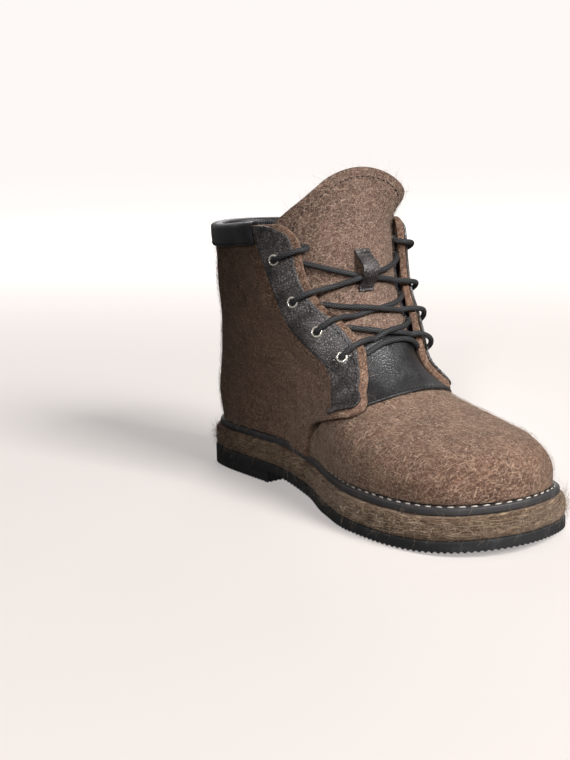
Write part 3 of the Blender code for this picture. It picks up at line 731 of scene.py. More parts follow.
def scuffGroup():
    # faint dust and rubbed patches for rubber and smooth leather
    tree, source, target = newGroup("scuffs", (
        ("Vector", "NodeSocketVector", None),
        ("Scale", "NodeSocketFloat", 120.0),
    ), (("Dust", "NodeSocketFloat"), ("Grain", "NodeSocketFloat")))
    place = source.outputs["Vector"]
    broad = addNoise(tree, place, source.outputs["Scale"], *scuffSizes["dust"])
    return closeGroup(tree, target, Dust=smoothMask(tree, broad, *scuffSizes["dustMask"]),
                      Grain=addNoise(tree, place, *scuffSizes["grain"]))


feltFibres = feltFibreGroup()
leatherPebbles = leatherPebbleGroup()
scuffs = scuffGroup()


def newMaterial(name, roughness, metallic=0.0, **sockets):
    made = bpy.data.materials.new(name)
    made.use_nodes = True
    tree = made.node_tree
    shader = tree.nodes["Principled BSDF"]
    shader.inputs["Roughness"].default_value = roughness
    shader.inputs["Metallic"].default_value = metallic
    for label, value in sockets.items():
        shader.inputs[label].default_value = value
    place = tree.nodes.new("ShaderNodeTexCoord").outputs["Object"]
    return made, tree, shader, place


def addBump(tree, shader, height, strength, distance):
    bump = addNode(tree, "ShaderNodeBump", {
        "Height": height, "Strength": strength, "Distance": distance,
    })
    tree.links.new(bump.outputs["Normal"], shader.inputs["Normal"])


def feltMaterial(name, dark, middle, light, fleck, stretch=(1, 1, 1)):
    made, tree, shader, place = newMaterial(name, 0.95, **{
        "Sheen Weight": 0.2, "Sheen Roughness": 0.6, "Sheen Tint": (0.75, 0.62, 0.52, 1),
        "Specular IOR Level": 0.05,
    })
    fibres = addNode(tree, "ShaderNodeGroup", {
        "Vector": place, "Dark": (*dark, 1), "Middle": (*middle, 1), "Light": (*light, 1),
        "Fleck": fleck, "Stretch": stretch,
    }, node_tree=feltFibres)
    tree.links.new(fibres.outputs["Color"], shader.inputs["Base Color"])
    addBump(tree, shader, fibres.outputs["Height"], strength=0.75, distance=0.0007)
    return made


leatherLook = {"shade": (0.40, 0.60, 0.40, 1.30), "gloss": (0.3, 0.7), "rougher": (-0.08, 0.12)}


def leatherMaterial(name, low, high, roughness, scale, depth):
    made, tree, shader, place = newMaterial(name, roughness, **{
        "Coat Weight": 0.12, "Coat Roughness": 0.3, "Specular IOR Level": 0.6,
    })
    pebbles = addNode(tree, "ShaderNodeGroup", {"Vector": place, "Scale": scale},
                      node_tree=leatherPebbles)
    haze = pebbles.outputs["Haze"]
    # painted shade: the pebble valleys take the dark colour low, the pebble tops the pale colour
    # high
    tint = mixColor(tree, pebbles.outputs["Valley"], (*low, 1), (*high, 1))
    tint = mixColor(tree, 1.0, tint, remap(tree, haze, *leatherLook["shade"]), "MULTIPLY")
    tree.links.new(tint, shader.inputs["Base Color"])
    ends = [roughness + step for step in leatherLook["rougher"]]
    gloss = remap(tree, haze, *leatherLook["gloss"], *ends)
    tree.links.new(gloss, shader.inputs["Roughness"])
    addBump(tree, shader, pebbles.outputs["Height"], strength=0.34, distance=depth)
    return made


def rubberMaterial(name, low, high, roughness):
    made, tree, shader, place = newMaterial(name, roughness, **{"Specular IOR Level": 0.35})
    marks = addNode(tree, "ShaderNodeGroup", {"Vector": place}, node_tree=scuffs)
    tree.links.new(mixColor(tree, marks.outputs["Dust"], (*low, 1), (*high, 1)),
                   shader.inputs["Base Color"])
    addBump(tree, shader, marks.outputs["Grain"], strength=0.35, distance=0.0003)
    return made


def splitFlat(tree):
    flat = addNode(tree, "ShaderNodeTexCoord").outputs["UV"]
    return addNode(tree, "ShaderNodeSeparateXYZ", {"Vector": flat}).outputs


def ribbedMaterial(name, low, high, count):
    # ribs across the piece's own UV, count of them from edge to edge
    made, tree, shader, _ = newMaterial(name, 0.85, **{"Specular IOR Level": 0.2})
    phase = calculate(tree, "MULTIPLY", splitFlat(tree)[0], count * 2 * math.pi)
    rib = calculate(tree, "MULTIPLY_ADD", calculate(tree, "SINE", phase), 0.5, 0.5)
    tree.links.new(mixColor(tree, rib, (*low, 1), (*high, 1)), shader.inputs["Base Color"])
    addBump(tree, shader, rib, strength=0.7, distance=0.0006)
    return made


braidLook = {"around": 7, "along": 3.2, "mask": (0.0, 0.95)}


def braidMaterial(name, low, high):
    # strands twist both ways round the cord, one UV unit along is 10 mm; the crests are paler,
    # partly lighter yarn and partly painted highlight, and the grooves darker as painted shade
    made, tree, shader, _ = newMaterial(name, 0.6, **{"Specular IOR Level": 0.35})
    flat = splitFlat(tree)
    ridges = []
    for twist in (1, -1):
        around = calculate(tree, "MULTIPLY", flat[0], braidLook["around"] * 2 * math.pi)
        onward = calculate(tree, "MULTIPLY", flat[1], twist * braidLook["along"] * 2 * math.pi)
        ridges.append(calculate(tree, "SINE", calculate(tree, "ADD", around, onward)))
    crestLightAndHeight = smoothMask(tree, calculate(tree, "MAXIMUM", *ridges), *braidLook["mask"])
    # painted highlight on the crests and painted shade in the grooves, together with the lace's
    # lighter yarn
    tree.links.new(mixColor(tree, crestLightAndHeight, (*low, 1), (*high, 1)), shader.inputs["Base Color"])
    addBump(tree, shader, crestLightAndHeight, strength=0.9, distance=0.0005)
    return made


paler = 1.35    # grain of a plain finish, against its colour


def plainMaterial(name, color, roughness, metallic=0.0):
    made, tree, shader, place = newMaterial(name, roughness, metallic)
    marks = addNode(tree, "ShaderNodeGroup", {"Vector": place}, node_tree=scuffs)
    pale = tuple(min(1, part * paler) for part in color)
    tree.links.new(mixColor(tree, marks.outputs["Grain"], (*color, 1), (*pale, 1)),
                   shader.inputs["Base Color"])
    return made


finishes = {
    "felt": feltMaterial("felt", (0.052, 0.027, 0.018), (0.200, 0.110, 0.075),
                         (0.56, 0.39, 0.28), 0.68),
    "tongueFelt": feltMaterial("tongueFelt", (0.058, 0.034, 0.026), (0.205, 0.124, 0.094),
                               (0.56, 0.40, 0.31), 0.68),
    "midsoleFelt": feltMaterial("midsoleFelt", (0.045, 0.027, 0.018), (0.20, 0.130, 0.085),
                                (0.55, 0.40, 0.26), 0.6, (0.22, 0.22, 1.6)),
    "leather": leatherMaterial("leather", (0.005, 0.005, 0.006), (0.026, 0.024, 0.024),
                               0.38, 660, 0.0004),
    # facing leather: its pale pebble-top colour is partly the leather's lighter tone and partly
    # painted light
    "facingLeather": leatherMaterial("facingLeather", (0.012, 0.010, 0.010),
                                     (0.120, 0.102, 0.098), 0.32, 660, 0.0005),
    "bindingLeather": leatherMaterial("bindingLeather", (0.010, 0.010, 0.014),
                                      (0.024, 0.023, 0.030), 0.45, 1500, 0.00015),
    "outsoleRubber": rubberMaterial("outsoleRubber", (0.022, 0.022, 0.023), (0.05, 0.05, 0.05),
                                    0.75),
    "weltRubber": rubberMaterial("weltRubber", (0.045, 0.042, 0.043), (0.085, 0.078, 0.075),
                                 0.5),
    "lining": ribbedMaterial("lining", (0.006, 0.006, 0.008), (0.035, 0.034, 0.040), 110),
    "gusset": plainMaterial("gusset", (0.010, 0.012, 0.030), 0.8),
    "lace": braidMaterial("lace", (0.006, 0.006, 0.007), (0.060, 0.058, 0.060)),
    "darkThread": plainMaterial("darkThread", (0.003, 0.003, 0.003), 0.8),
    "paleThread": plainMaterial("paleThread", (0.42, 0.38, 0.34), 0.7),
    "nickel": plainMaterial("nickel", (0.90, 0.80, 0.68), 0.24, 0.8),
    "paleHair": plainMaterial("paleHair", (0.40, 0.30, 0.22), 0.7),
    "darkHair": plainMaterial("darkHair", (0.09, 0.055, 0.04), 0.7),
}
print("finishes made")


# mesh building blocks
def layGrid(shape, points):
    rows, columns = points.shape[:2]
    made = bmesh.ops.create_grid(
        shape, x_segments=columns - 1, y_segments=rows - 1, size=1, calc_uvs=True)
    for index, vertex in enumerate(made["verts"]):
        vertex.co = points[index // columns, index % columns]
    return made["verts"]


def newShape():
    shape = bmesh.new()
    shape.loops.layers.uv.new("UVMap")
    return shape


boreSizes = {"reach": 3.2, "cut": 0.92}    # as shares of the hole's radius


def openBore(shape, verts, centre, normal, radius):
    # a round hole through one sheet: faces inside go, and the rim moves onto the circle
    near = [v for v in verts
            if v.is_valid and (v.co - centre).length < boreSizes["reach"] * radius]
    flat = {v: (v.co - centre) - normal * (v.co - centre).dot(normal) for v in near}
    gone = {f for v in near if flat[v].length < radius * boreSizes["cut"] for f in v.link_faces}
    bmesh.ops.delete(shape, geom=list(gone), context="FACES")
    rim = [v for v in near if v.is_valid and v.is_boundary]
    for vertex in rim:
        vertex.co += flat[vertex].normalized() * (radius - flat[vertex].length)
    chosen = set(rim)
    return list({e for v in rim for e in v.link_edges
                 if e.is_boundary and e.verts[0] in chosen and e.verts[1] in chosen})


def shellOf(outer, inner, bores=()):
    # closed felt or leather shell between two sheets, pierced where eyelets go
    shape = newShape()
    sheets = [layGrid(shape, outer), layGrid(shape, inner)]
    border = [e for e in shape.edges if e.is_boundary]
    for centre, normal, radius in bores:
        rims = [openBore(shape, sheet, centre, normal, radius) for sheet in sheets]
        bmesh.ops.bridge_loops(shape, edges=rims[0] + rims[1])
    bmesh.ops.bridge_loops(shape, edges=border)
    return shape


def makePiece(name, shape, finish, stands=(), sharp=40):
    bmesh.ops.remove_doubles(shape, verts=shape.verts, dist=1e-7)
    bmesh.ops.recalc_face_normals(shape, faces=shape.faces)
    bmesh.ops.translate(shape, vec=(centreShift, 0, 0), verts=shape.verts)
    mesh = bpy.data.meshes.new(name)
    shape.to_mesh(mesh)
    shape.free()
    mesh.shade_smooth()
    mesh.set_sharp_from_angle(angle=math.radians(sharp))
    mesh.materials.append(finishes[finish])
    piece = bpy.data.objects.new(name, mesh)
    bpy.context.scene.collection.objects.link(piece)
    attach(piece, "root")
    if stands:
        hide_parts(*stands)
    return piece


def roundedEdge(depth, distance):
    # how far a sheet's face drops toward its cut edge
    distance = np.clip(depth - distance, 0, depth)
    return depth - np.sqrt(np.clip(depth ** 2 - distance ** 2, 0, None))


edgeSteps = (0, 0.12, 0.32, 0.6, 1.0)    # fine steps at a sheet's edge, as shares of its round


def closeSpread(count, edge, span):
    # even steps with a few fine ones at both ends of a span with rounded edges
    fine = np.array(edgeSteps) * edge / span
    inside = np.linspace(fine[-1], 1 - fine[-1], count)
    return np.concatenate([fine[:-1], inside, 1 - fine[-2::-1]])


def edgeDrop(points, depth):
    # drop of every grid point from its distance to the sheet's four edges
    across = np.linalg.norm(np.diff(points, axis=1), axis=-1)
    upward = np.linalg.norm(np.diff(points, axis=0), axis=-1)
    left = np.concatenate([np.zeros((len(points), 1)), np.cumsum(across, axis=1)], axis=1)
    low = np.concatenate([np.zeros((1, points.shape[1])), np.cumsum(upward, axis=0)], axis=0)
    nearest = np.minimum(np.minimum(left, left[:, -1:] - left), np.minimum(low, low[-1:] - low))
    return roundedEdge(depth, nearest)


def unevenness(points, scale, amount):
    flat = points.reshape(-1, 3)
    values = [noise.noise(Vector(place) * scale) for place in flat]
    return amount * np.array(values).reshape(points.shape[:2])


def creaseDepth(points, creases):
    # soft troughs, and ridges where the depth is negative
    total = np.zeros(points.shape[:2])
    for start, end, width, depth in creases:
        start, end = np.array(start), np.array(end)
        way = end - start
        share = np.clip(((points - start) @ way) / (way @ way), 0, 1)
        gap = np.linalg.norm(points - (start + share[..., None] * way), axis=-1)
        total += depth * np.exp(-(gap / width) ** 2)
    return total


def addBead(shape, centre, way, up, length, thickness):
    # one stitch or grain of thread: a small stretched ball
    side = way.cross(up).normalized()
    up = side.cross(way).normalized()
    turn = Matrix((side * thickness / 2, way.normalized() * length / 2, up * thickness / 2))
    turn = turn.transposed().to_4x4()
    turn.translation = centre
    bmesh.ops.create_uvsphere(shape, u_segments=6, v_segments=5, radius=1, matrix=turn)


def stitchLine(shape, line, outward, sizes):
    # running stitches along a line of points, each lying on the face it holds down
    line = [Vector(point) for point in line]
    outward = [Vector(way) for way in outward]
    covered, target = 0.0, sizes["stitchPitch"] / 2
    for first, second, up in zip(line, line[1:], outward):
        step = (second - first).length
        while step > 0 and covered + step >= target:
            place = first.lerp(second, (target - covered) / step)
            addBead(shape, place, (second - first).normalized(), up,
                    sizes["stitchLength"], sizes["stitchThickness"])
            target += sizes["stitchPitch"]
        covered += step


def makeStitches(name, lines, sizes, finish="darkThread"):
    stitches = newShape()
    for line, outward in lines:
        stitchLine(stitches, line, outward, sizes)
    makePiece(name, stitches, finish)


def closeHoles(shape):
    bmesh.ops.holes_fill(shape, edges=[e for e in shape.edges if e.is_boundary], sides=0)


def tubeShape(path, radius, sides):
    # a round cord: a grid wrapped along the path, one UV unit along is 10 mm
    path = np.array(path)
    way = unit(np.gradient(path, axis=0))
    frameSide = np.zeros_like(path)
    side = np.cross(way[0], (0, 0, 1.0))
    for index, direction in enumerate(way):
        side = unit(side - direction * (side @ direction))
        frameSide[index] = side
    frameUp = np.cross(way, frameSide)
    angle = np.linspace(0, 2 * math.pi, sides + 1)
    ring = (path[:, None] + radius * (np.cos(angle)[None, :, None] * frameSide[:, None]
                                      + np.sin(angle)[None, :, None] * frameUp[:, None]))
    ring[:, -1] = ring[:, 0]
    shape = newShape()
    layGrid(shape, ring)
    length = np.linalg.norm(np.diff(path, axis=0), axis=1).sum()
    flat = shape.loops.layers.uv.active
    for face in shape.faces:
        for loop in face.loops:
            loop[flat].uv.y *= length / 0.010
    bmesh.ops.remove_doubles(shape, verts=shape.verts, dist=1e-7)
    closeHoles(shape)
    return shape, length


def wrapRings(rings, closedSection):
    # rings round the sole, joined one to the next
    rings = [np.vstack([ring, ring[:1]]) for ring in rings]
    if closedSection:
        rings.append(rings[0])
    shape = newShape()
    layGrid(shape, np.stack(rings))
    bmesh.ops.remove_doubles(shape, verts=shape.verts, dist=1e-7)
    return shape


def capRings(shape):
    closeHoles(shape)
    caps = [face for face in shape.faces if len(face.verts) > 4]
    bmesh.ops.triangulate(shape, faces=caps)


treadSizes = {"pitch": 0.0034, "depth": 0.0011, "hollow": 0.0004, "soft": 0.0004,
              "gap": 0.0002, "under": 0.0030, "flank": 0.0008}


def treadRing(first):
    # the outline behind the station first, in quarter teeth, with its inward side
    ring = ringOf(0)
    ring = ring[ring[:, 1] >= first]
    closed = np.vstack([ring, ring[:1]])
    arc = np.concatenate([[0], np.cumsum(np.linalg.norm(np.diff(closed, axis=0), axis=1))])
    teeth = round(arc[-1] / treadSizes["pitch"])
    at = np.linspace(0, arc[-1], 4 * teeth, endpoint=False)
    ring = np.column_stack([np.interp(at, arc, closed[:, 0]), np.interp(at, arc, closed[:, 1])])
    way = np.roll(ring, -1, axis=0) - np.roll(ring, 1, axis=0)
    inward = unit(np.column_stack([-way[:, 1], way[:, 0]]))
    inward *= np.sign(np.sum(inward * (ring.mean(axis=0) - ring)))
    return ring, inward


def buildRubber(name, first, toothed, level, height, stands):
    # a flat slab with a toothed foot, hollow under the teeth
    ring, inward = treadRing(first)
    tooth = treadSizes["depth"] * np.resize([0, 0.5, 1, 0.5], len(ring))
    tooth = np.where(ring[:, 1] < toothed, tooth, 0)
    soft, gap = treadSizes["soft"], treadSizes["gap"]
    rings = []
    for inset, rise in (
        (treadSizes["under"], treadSizes["hollow"]), (2 * gap, tooth),
        (gap, tooth + treadSizes["flank"]), (gap, height - soft), (gap + soft, height),
    ):
        place = ring + inward * inset
        rings.append(np.column_stack([place, level(place[:, 1]) + rise]))
    shape = wrapRings(rings, False)
    capRings(shape)
    makePiece(name, shape, "outsoleRubber", stands, sharp=25)


def buildSole():
    heelFront = soleLength * (0.5 - heelBreast)
    buildRubber("outsoleRubber", -soleLength, heelFront, soleRise, outsoleHeight, ["outsole"])
    buildRubber("heelLiftRubber", heelFront, soleLength, lambda y: 0 * y, heelLift,
                ["heel_lift"])
    print("outsole and heel lift made")


midsoleSizes = {"inset": 0.001, "bulge": 0.0005, "rows": 9, "uneven": (260, 0.00045),
                "waves": (60, 0.0003), "edgeRound": 0.0008}


def buildMidsole():
    base = outsoleHeight + clearance
    rings = []
    for share in np.linspace(0, 1, midsoleSizes["rows"]):
        corner = roundedEdge(midsoleSizes["edgeRound"], midsoleHeight * min(share, 1 - share))
        inset = midsoleSizes["inset"] + corner - midsoleSizes["bulge"] * math.sin(math.pi * share)
        ring = ringOf(inset)
        rings.append(np.column_stack([ring, soleRise(ring[:, 1]) + base + midsoleHeight * share]))
    stack = np.stack(rings)
    outward = stack - stack.mean(axis=(0, 1))
    outward[..., 2] = 0
    outward = unit(outward)
    rough = sum(unevenness(stack, *midsoleSizes[key]) for key in ("uneven", "waves"))
    rough[[0, -1]] = np.minimum(rough[[0, -1]], 0)
    stack = stack + outward * rough[..., None]
    shape = wrapRings(list(stack), False)
    capRings(shape)
    makePiece("midsoleFelt", shape, "midsoleFelt", ["midsole"], sharp=50)
    print("midsole made")
    return stack, outward


weltSizes = {"round": 0.0009, "stitchPitch": 0.0060, "stitchLength": 0.0035,
             "stitchThickness": 0.0009, "stitchInset": 0.0010, "stitchRise": 0.0002}


def buildWelt():
    base = outsoleHeight + midsoleHeight + 2 * clearance
    soft = weltSizes["round"]
    section = []
    for centre, height, start in (
        (weltInset + soft, soft, 180), (weltInset + soft, weltHeight - soft, 90),
        (weltBand - soft, weltHeight - soft, 0), (weltBand - soft, soft, -90),
    ):
        for turn in np.radians(np.linspace(start + 90, start, 4)):
            section.append((centre + soft * math.cos(turn), height + soft * math.sin(turn)))
    rings = []
    for inset, height in section:
        ring = ringOf(inset)
        rings.append(np.column_stack([ring, soleRise(ring[:, 1]) + base + height]))
    makePiece("weltRubber", wrapRings(rings, True), "weltRubber",
              ["welt"], sharp=50)
    line = ringOf(weltInset + weltShelf - weltSizes["stitchInset"])
    line = np.vstack([line, line[:1]])
    top = soleRise(line[:, 1]) + base + weltHeight + weltSizes["stitchRise"]
    lines = [(np.column_stack([line, top]), [(0, 0, 1)] * len(line))]
    makeStitches("weltStitches", lines, weltSizes, "paleThread")
    print("welt made")


# Spreads are the count of even steps, the rounded edge and the span, in metres
upperSizes = {
    "quarterColumns": (250, 0.0011, 0.33), "quarterRows": (84, 0.0011, 0.13),
    "vampColumns": 190, "vampRows": (96, 0.0011, 0.09), "vampEnd": 0.05,
    "edgeRound": 0.0011, "broad": (45, 0.0004), "fine": (230, 0.00012),
}
quarterCreases = (
    ((-0.034, 0.118, 0.104), (-0.042, 0.070, 0.092), 0.0060, 0.0009),
    ((-0.036, 0.110, 0.084), (-0.043, 0.060, 0.074), 0.0070, -0.0007),
    ((-0.030, 0.122, 0.066), (-0.042, 0.080, 0.058), 0.0070, 0.0006),
    ((0.036, 0.116, 0.102), (0.044, 0.066, 0.090), 0.0060, 0.0009),
    ((0.038, 0.108, 0.080), (0.046, 0.056, 0.070), 0.0070, -0.0007),
    ((-0.004, 0.131, 0.112), (0.012, 0.131, 0.106), 0.0060, 0.0005),
)
vampCreases = (
    ((-0.044, -0.034, 0.046), (0.000, -0.052, 0.066), 0.0055, 0.0007),
    ((0.040, -0.034, 0.048), (0.004, -0.050, 0.066), 0.0055, 0.0007),
    ((-0.046, -0.058, 0.042), (0.030, -0.068, 0.060), 0.0080, -0.0006),
    ((-0.040, -0.092, 0.040), (0.020, -0.100, 0.054), 0.0100, 0.0004),
)


def eyeletSeats():
    # name, number, place and outward side of every eyelet, on the felt
    for name, side in bootSides:
        for number in range(len(eyeletTable)):
            point, normal = placeOnQuarter(side, *eyeletPlace(side, number), 0)
            yield name, number, Vector(point), Vector(normal)


seats = list(eyeletSeats())


def feltSheets(points, drop, creases):
    outward = normals(points)
    waves = sum(unevenness(points, *upperSizes[key]) for key in ("broad", "fine"))
    dip = creaseDepth(points, creases) + np.abs(waves)
    outer = points - outward * (dip + drop)[..., None]
    inner = points - outward * (feltThickness + dip - drop)[..., None]
    return outer, inner, outward


def quarterPoints(rows, columns):
    places = [quarterRow(share, columns) for share in rows]
    turns, heights = (np.stack(part) for part in zip(*places))
    return sideGrid(turns, heights, 0)


def buildUpper():
    spread = closeSpread(*upperSizes["quarterColumns"])
    points = quarterPoints(closeSpread(*upperSizes["quarterRows"]), spread)
    drop = edgeDrop(points, upperSizes["edgeRound"])
    outer, inner, outward = feltSheets(points, drop, quarterCreases)
    bores = [(point - normal * feltThickness / 2, normal, eyeletBore)
             for _, _, point, normal in seats]
    makePiece("quarters", shellOf(outer, inner, bores), "felt", ["upper"], sharp=60)
    vampRow = closeSpread(*upperSizes["vampRows"])
    end = upperSizes["vampEnd"]
    vampSpread = end + (math.pi - 2 * end) * np.linspace(0, 1, upperSizes["vampColumns"])
    vamp = fanGrid(throatAngle * vampRow, vampSpread[None, :] * np.ones((len(vampRow), 1)))
    drop = edgeDrop(vamp, upperSizes["edgeRound"])
    vampOuter, vampInner, vampOutward = feltSheets(vamp, drop, vampCreases)
    makePiece("vamp", shellOf(vampOuter, vampInner), "felt", ["upper"], sharp=60)
    print("upper made")
    return (outer, outward), (vampOuter, vampOutward)


tongueSizes = {
    "rows": (96, 0.0012, 0.12), "columns": (96, 0.0012, 0.08), "edgeRound": 0.0012,
    "halvings": 40, "roundness": 0.97, "halfWidth": 0.040, "stitchInset": 0.0055,
    "stitchFoot": 0.100, "stitchRise": 0.0001, "stitchPitch": 0.0036,
    "stitchLength": 0.0028, "stitchThickness": 0.0008, "sidePoints": 30, "arcPoints": 90,
    "acrossStep": 0.01, "upStep": 0.001,
}


def tonguePoints(across, z):
    points = formPoint(tongueTurn(across + 0 * z, z), z)
    free = ease((z - tongueFree[0]) / (tongueFree[1] - tongueFree[0]))
    front = frontY(z)
    depth = (points[..., 1] - front) * (1 - tongueFlatten * free)
    twist = tongueTwist * free
    x = points[..., 0] * np.cos(twist) + depth * np.sin(twist)
    y = front - points[..., 0] * np.sin(twist) + depth * np.cos(twist)
    return np.stack([x + tongueLean * free, y, points[..., 2]], axis=-1)


def buildTongue():
    across = (2 * closeSpread(*tongueSizes["columns"]) - 1)[None, :]
    low = np.full(across.shape, toeHeight)
    high = np.full(across.shape, collarHeight)
    for _ in range(tongueSizes["halvings"]):
        z = (low + high) / 2
        x, y, _ = np.moveaxis(formPoint(tongueTurn(across, z), z), -1, 0)
        rise = z - feather(y)
        hinge = hingeY(np.abs(x) / np.sqrt(x ** 2 + rise ** 2 + (y - upperY(fanStation)) ** 2))
        above = rise > (hinge - y) * math.tan(throatAngle) + 2 * clearance
        high = np.where(above, z, high)
        low = np.where(above, low, z)
    dome = tongueHeight - tongueShoulder
    top = tongueShoulder + dome * np.sqrt(1 - tongueSizes["roundness"] * across ** 2)
    share = closeSpread(*tongueSizes["rows"])[:, None]
    points = tonguePoints(across, high + (top - high) * share)
    outer, inner, outward = feltSheets(points, edgeDrop(points, tongueSizes["edgeRound"]), ())
    makePiece("tongueFelt", shellOf(outer, inner), "tongueFelt", ["tongue"], sharp=60)
    keep = 1 - tongueSizes["stitchInset"] / tongueSizes["halfWidth"]
    arc = np.linspace(-math.pi / 2, math.pi / 2, tongueSizes["arcPoints"])
    sideZ = np.linspace(tongueSizes["stitchFoot"], tongueShoulder, tongueSizes["sidePoints"])[:-1]
    lineAcross = np.concatenate([-keep + 0 * sideZ, keep * np.sin(arc), keep + 0 * sideZ])
    reach = dome - tongueSizes["stitchInset"]
    lineZ = np.concatenate([sideZ, tongueShoulder + reach * np.cos(arc), sideZ[::-1]])
    step = tongueSizes["acrossStep"]
    line = np.stack([tonguePoints(lineAcross + part, lineZ) for part in (-step, 0, step)])
    step = tongueSizes["upStep"]
    steps = np.stack([tonguePoints(lineAcross, lineZ + part) for part in (-step, step)])
    facing = unit(np.cross(line[2] - line[0], steps[1] - steps[0]))
    facing *= -np.sign(facing[:, 1:2])
    line = line[1] + facing * tongueSizes["stitchRise"]
    makeStitches("tongueStitches", [(line, facing)], tongueSizes)
    print("tongue made")
    return outer, outward


leatherSizes = {
    "edgeRound": 0.0005, "stitchPitch": 0.0030, "stitchLength": 0.0023,
    "stitchThickness": 0.00075, "facingRows": (110, 0.0006, 0.12),
    "facingColumns": (34, 0.0006, 0.025), "facingCorner": 0.4, "seamPoints": 60,
    "patchRows": (46, 0.0006, 0.04), "patchColumns": (60, 0.0006, 0.07),
    "patchSeams": (5, -6), "patchSeamEnds": 4,
}
# Seams on a facing, between corners given as shares up it and across it
facingSeams = (
    ((0.03, 0.09), (0.975, 0.09)), ((0.03, 0.92), (0.975, 0.92)),
    ((0.028, 0.09), (0.028, 0.92)), ((0.978, 0.09), (0.978, 0.92)),
    ((0.05, 0.16), (0.21, 0.90)),
)


def leatherShell(points, outward, seatHeight):
    drop = edgeDrop(points, leatherSizes["edgeRound"])
    outer = points + outward * (seatHeight + leatherThickness - drop)[..., None]
    inner = points + outward * seatHeight
    return outer, inner


def facingPoints(side, share, across, offset):
    low = facingFoot[0] + (facingFoot[1] - facingFoot[0]) * across
    wide = lineY(facingRear, facingTop, side) - edgeY(facingTop, side) - facingSetback
    top = facingTop - cornerDrop(wide * across + facingSetback * leatherSizes["facingCorner"])
    z = collarHeight * low + (top - collarHeight * low) * share
    front = edgeY(z, side) + facingSetback
    rear = lineY(facingRear, z, side)
    y = front + (rear - front) * across
    return sideGrid(side * turnAt(y, z), z, offset)


def facingLine(side, shares, acrosses):
    # a line on the facing, read through a three-row strip for its outward side
    shares, acrosses = np.array(shares), np.array(acrosses)
    upward = np.ptp(shares) > np.ptp(acrosses)
    step = np.array([-1, 0, 1])[:, None]
    strip = facingPoints(side, shares + step * (0 if upward else 0.004),
                         acrosses + step * (0.02 if upward else 0), 0)
    base = strip[1]
    outward = unit(np.cross(strip[2] - strip[0], np.gradient(base, axis=0)))
    outward *= np.sign(outward[:, :1]) * side
    return base + outward * leatherSkin, outward


def bendLine(corners, count):
    shares, acrosses = [], []
    for first, second in zip(corners, corners[1:]):
        part = np.linspace(0, 1, count, endpoint=False)
        shares += list(first[0] + (second[0] - first[0]) * part)
        acrosses += list(first[1] + (second[1] - first[1]) * part)
    return shares + [corners[-1][0]], acrosses + [corners[-1][1]]


def buildFacings():
    for name, side in bootSides:
        rows = closeSpread(*leatherSizes["facingRows"])[:, None]
        columns = closeSpread(*leatherSizes["facingColumns"])[None, :]
        points = facingPoints(side, rows, columns + 0 * rows, 0)
        outer, inner = leatherShell(points, normals(points), leatherSeat)
        bores = [(point + normal * leatherSeat, normal, eyeletBore)
                 for seatSide, _, point, normal in seats if seatSide == name]
        makePiece(f"facing{name.capitalize()}", shellOf(outer, inner, bores), "facingLeather",
                  [f"facing_{name}"], sharp=50)
        lines = [facingLine(side, *bendLine(corners, leatherSizes["seamPoints"]))
                 for corners in facingSeams]
        makeStitches(f"facingStitches{name.capitalize()}", lines, leatherSizes)
    print("facings made")


def buildPatch():
    share = closeSpread(*leatherSizes["patchRows"])[:, None]
    across = (2 * closeSpread(*leatherSizes["patchColumns"]) - 1)[None, :]
    half = baseSpread[0] + (baseSpread[1] - baseSpread[0]) * share
    angles = baseAngles[0] + (baseAngles[1] - baseAngles[0]) * share[:, 0]
    points = fanGrid(angles, math.pi / 2 + half * across)
    outward = normals(points)
    outer, inner = leatherShell(points, outward, leatherSeat)
    makePiece("tonguePatch", shellOf(outer, inner), "leather",
              ["tongue_base"], sharp=50)
    inside = slice(leatherSizes["patchSeamEnds"], -leatherSizes["patchSeamEnds"])
    lines = [(outer[row, inside], outward[row, inside]) for row in leatherSizes["patchSeams"]]
    makeStitches("patchStitches", lines, leatherSizes)
    print("tongue patch made")


bindingSizes = {
    "columns": 220, "stitchUp": 0.0013, "stitchRise": 0.0002, "foldPoints": (12, 9),
    "swell": ((0, 1), (0.0002, 0.75), (0.0003, 0.45)), "shoulder": (0.0001, -0.0016),
    "probe": 0.001,
}


def collarTurns(count):
    first, last = (
        side * float(turnAt(lineY(facingRear, collarHeight, side) + 2 * clearance, collarHeight))
        for _, side in bootSides
    )
    turn = first + (last - first - 2 * math.pi) * np.linspace(0, 1, count)
    return np.where(turn < -math.pi, turn + 2 * math.pi, turn)


def collarRing(turn, offset, drop):
    # below the collar it follows the felt, above it stands straight up
    top = collarZ(formPoint(turn, collarHeight)[..., 1])
    low = min(drop, 0)
    heights = np.stack([top + low - bindingSizes["probe"], top + low])
    ring = sideGrid(np.stack([turn, turn]), heights, offset)[1]
    ring[:, 2] += max(drop, 0)
    return ring


def bindingSection():
    # offset and height round the folded strip: down its outside, over the felt and back
    outside = [(leatherSkin + swell, -bindingHeight * share)
               for swell, share in bindingSizes["swell"]]
    shoulder, below = bindingSizes["shoulder"]
    outside.append((leatherSkin + shoulder, below))
    folds = []
    half = feltThickness / 2
    for skin, start, count in ((leatherSkin, 0, bindingSizes["foldPoints"][0]),
                               (leatherSeat, math.pi, bindingSizes["foldPoints"][1])):
        folds.append([(-half + (half + skin) * math.cos(angle), clearance + skin * math.sin(angle))
                      for angle in np.linspace(start, math.pi - start, count)])
    inside = [(-feltThickness - leatherSkin, -bindingHeight * 0.5),
              (-feltThickness - leatherSkin, -bindingHeight),
              (-feltThickness - leatherSeat, -bindingHeight)]
    return outside + folds[0] + inside + folds[1] + [(leatherSeat, -bindingHeight)]


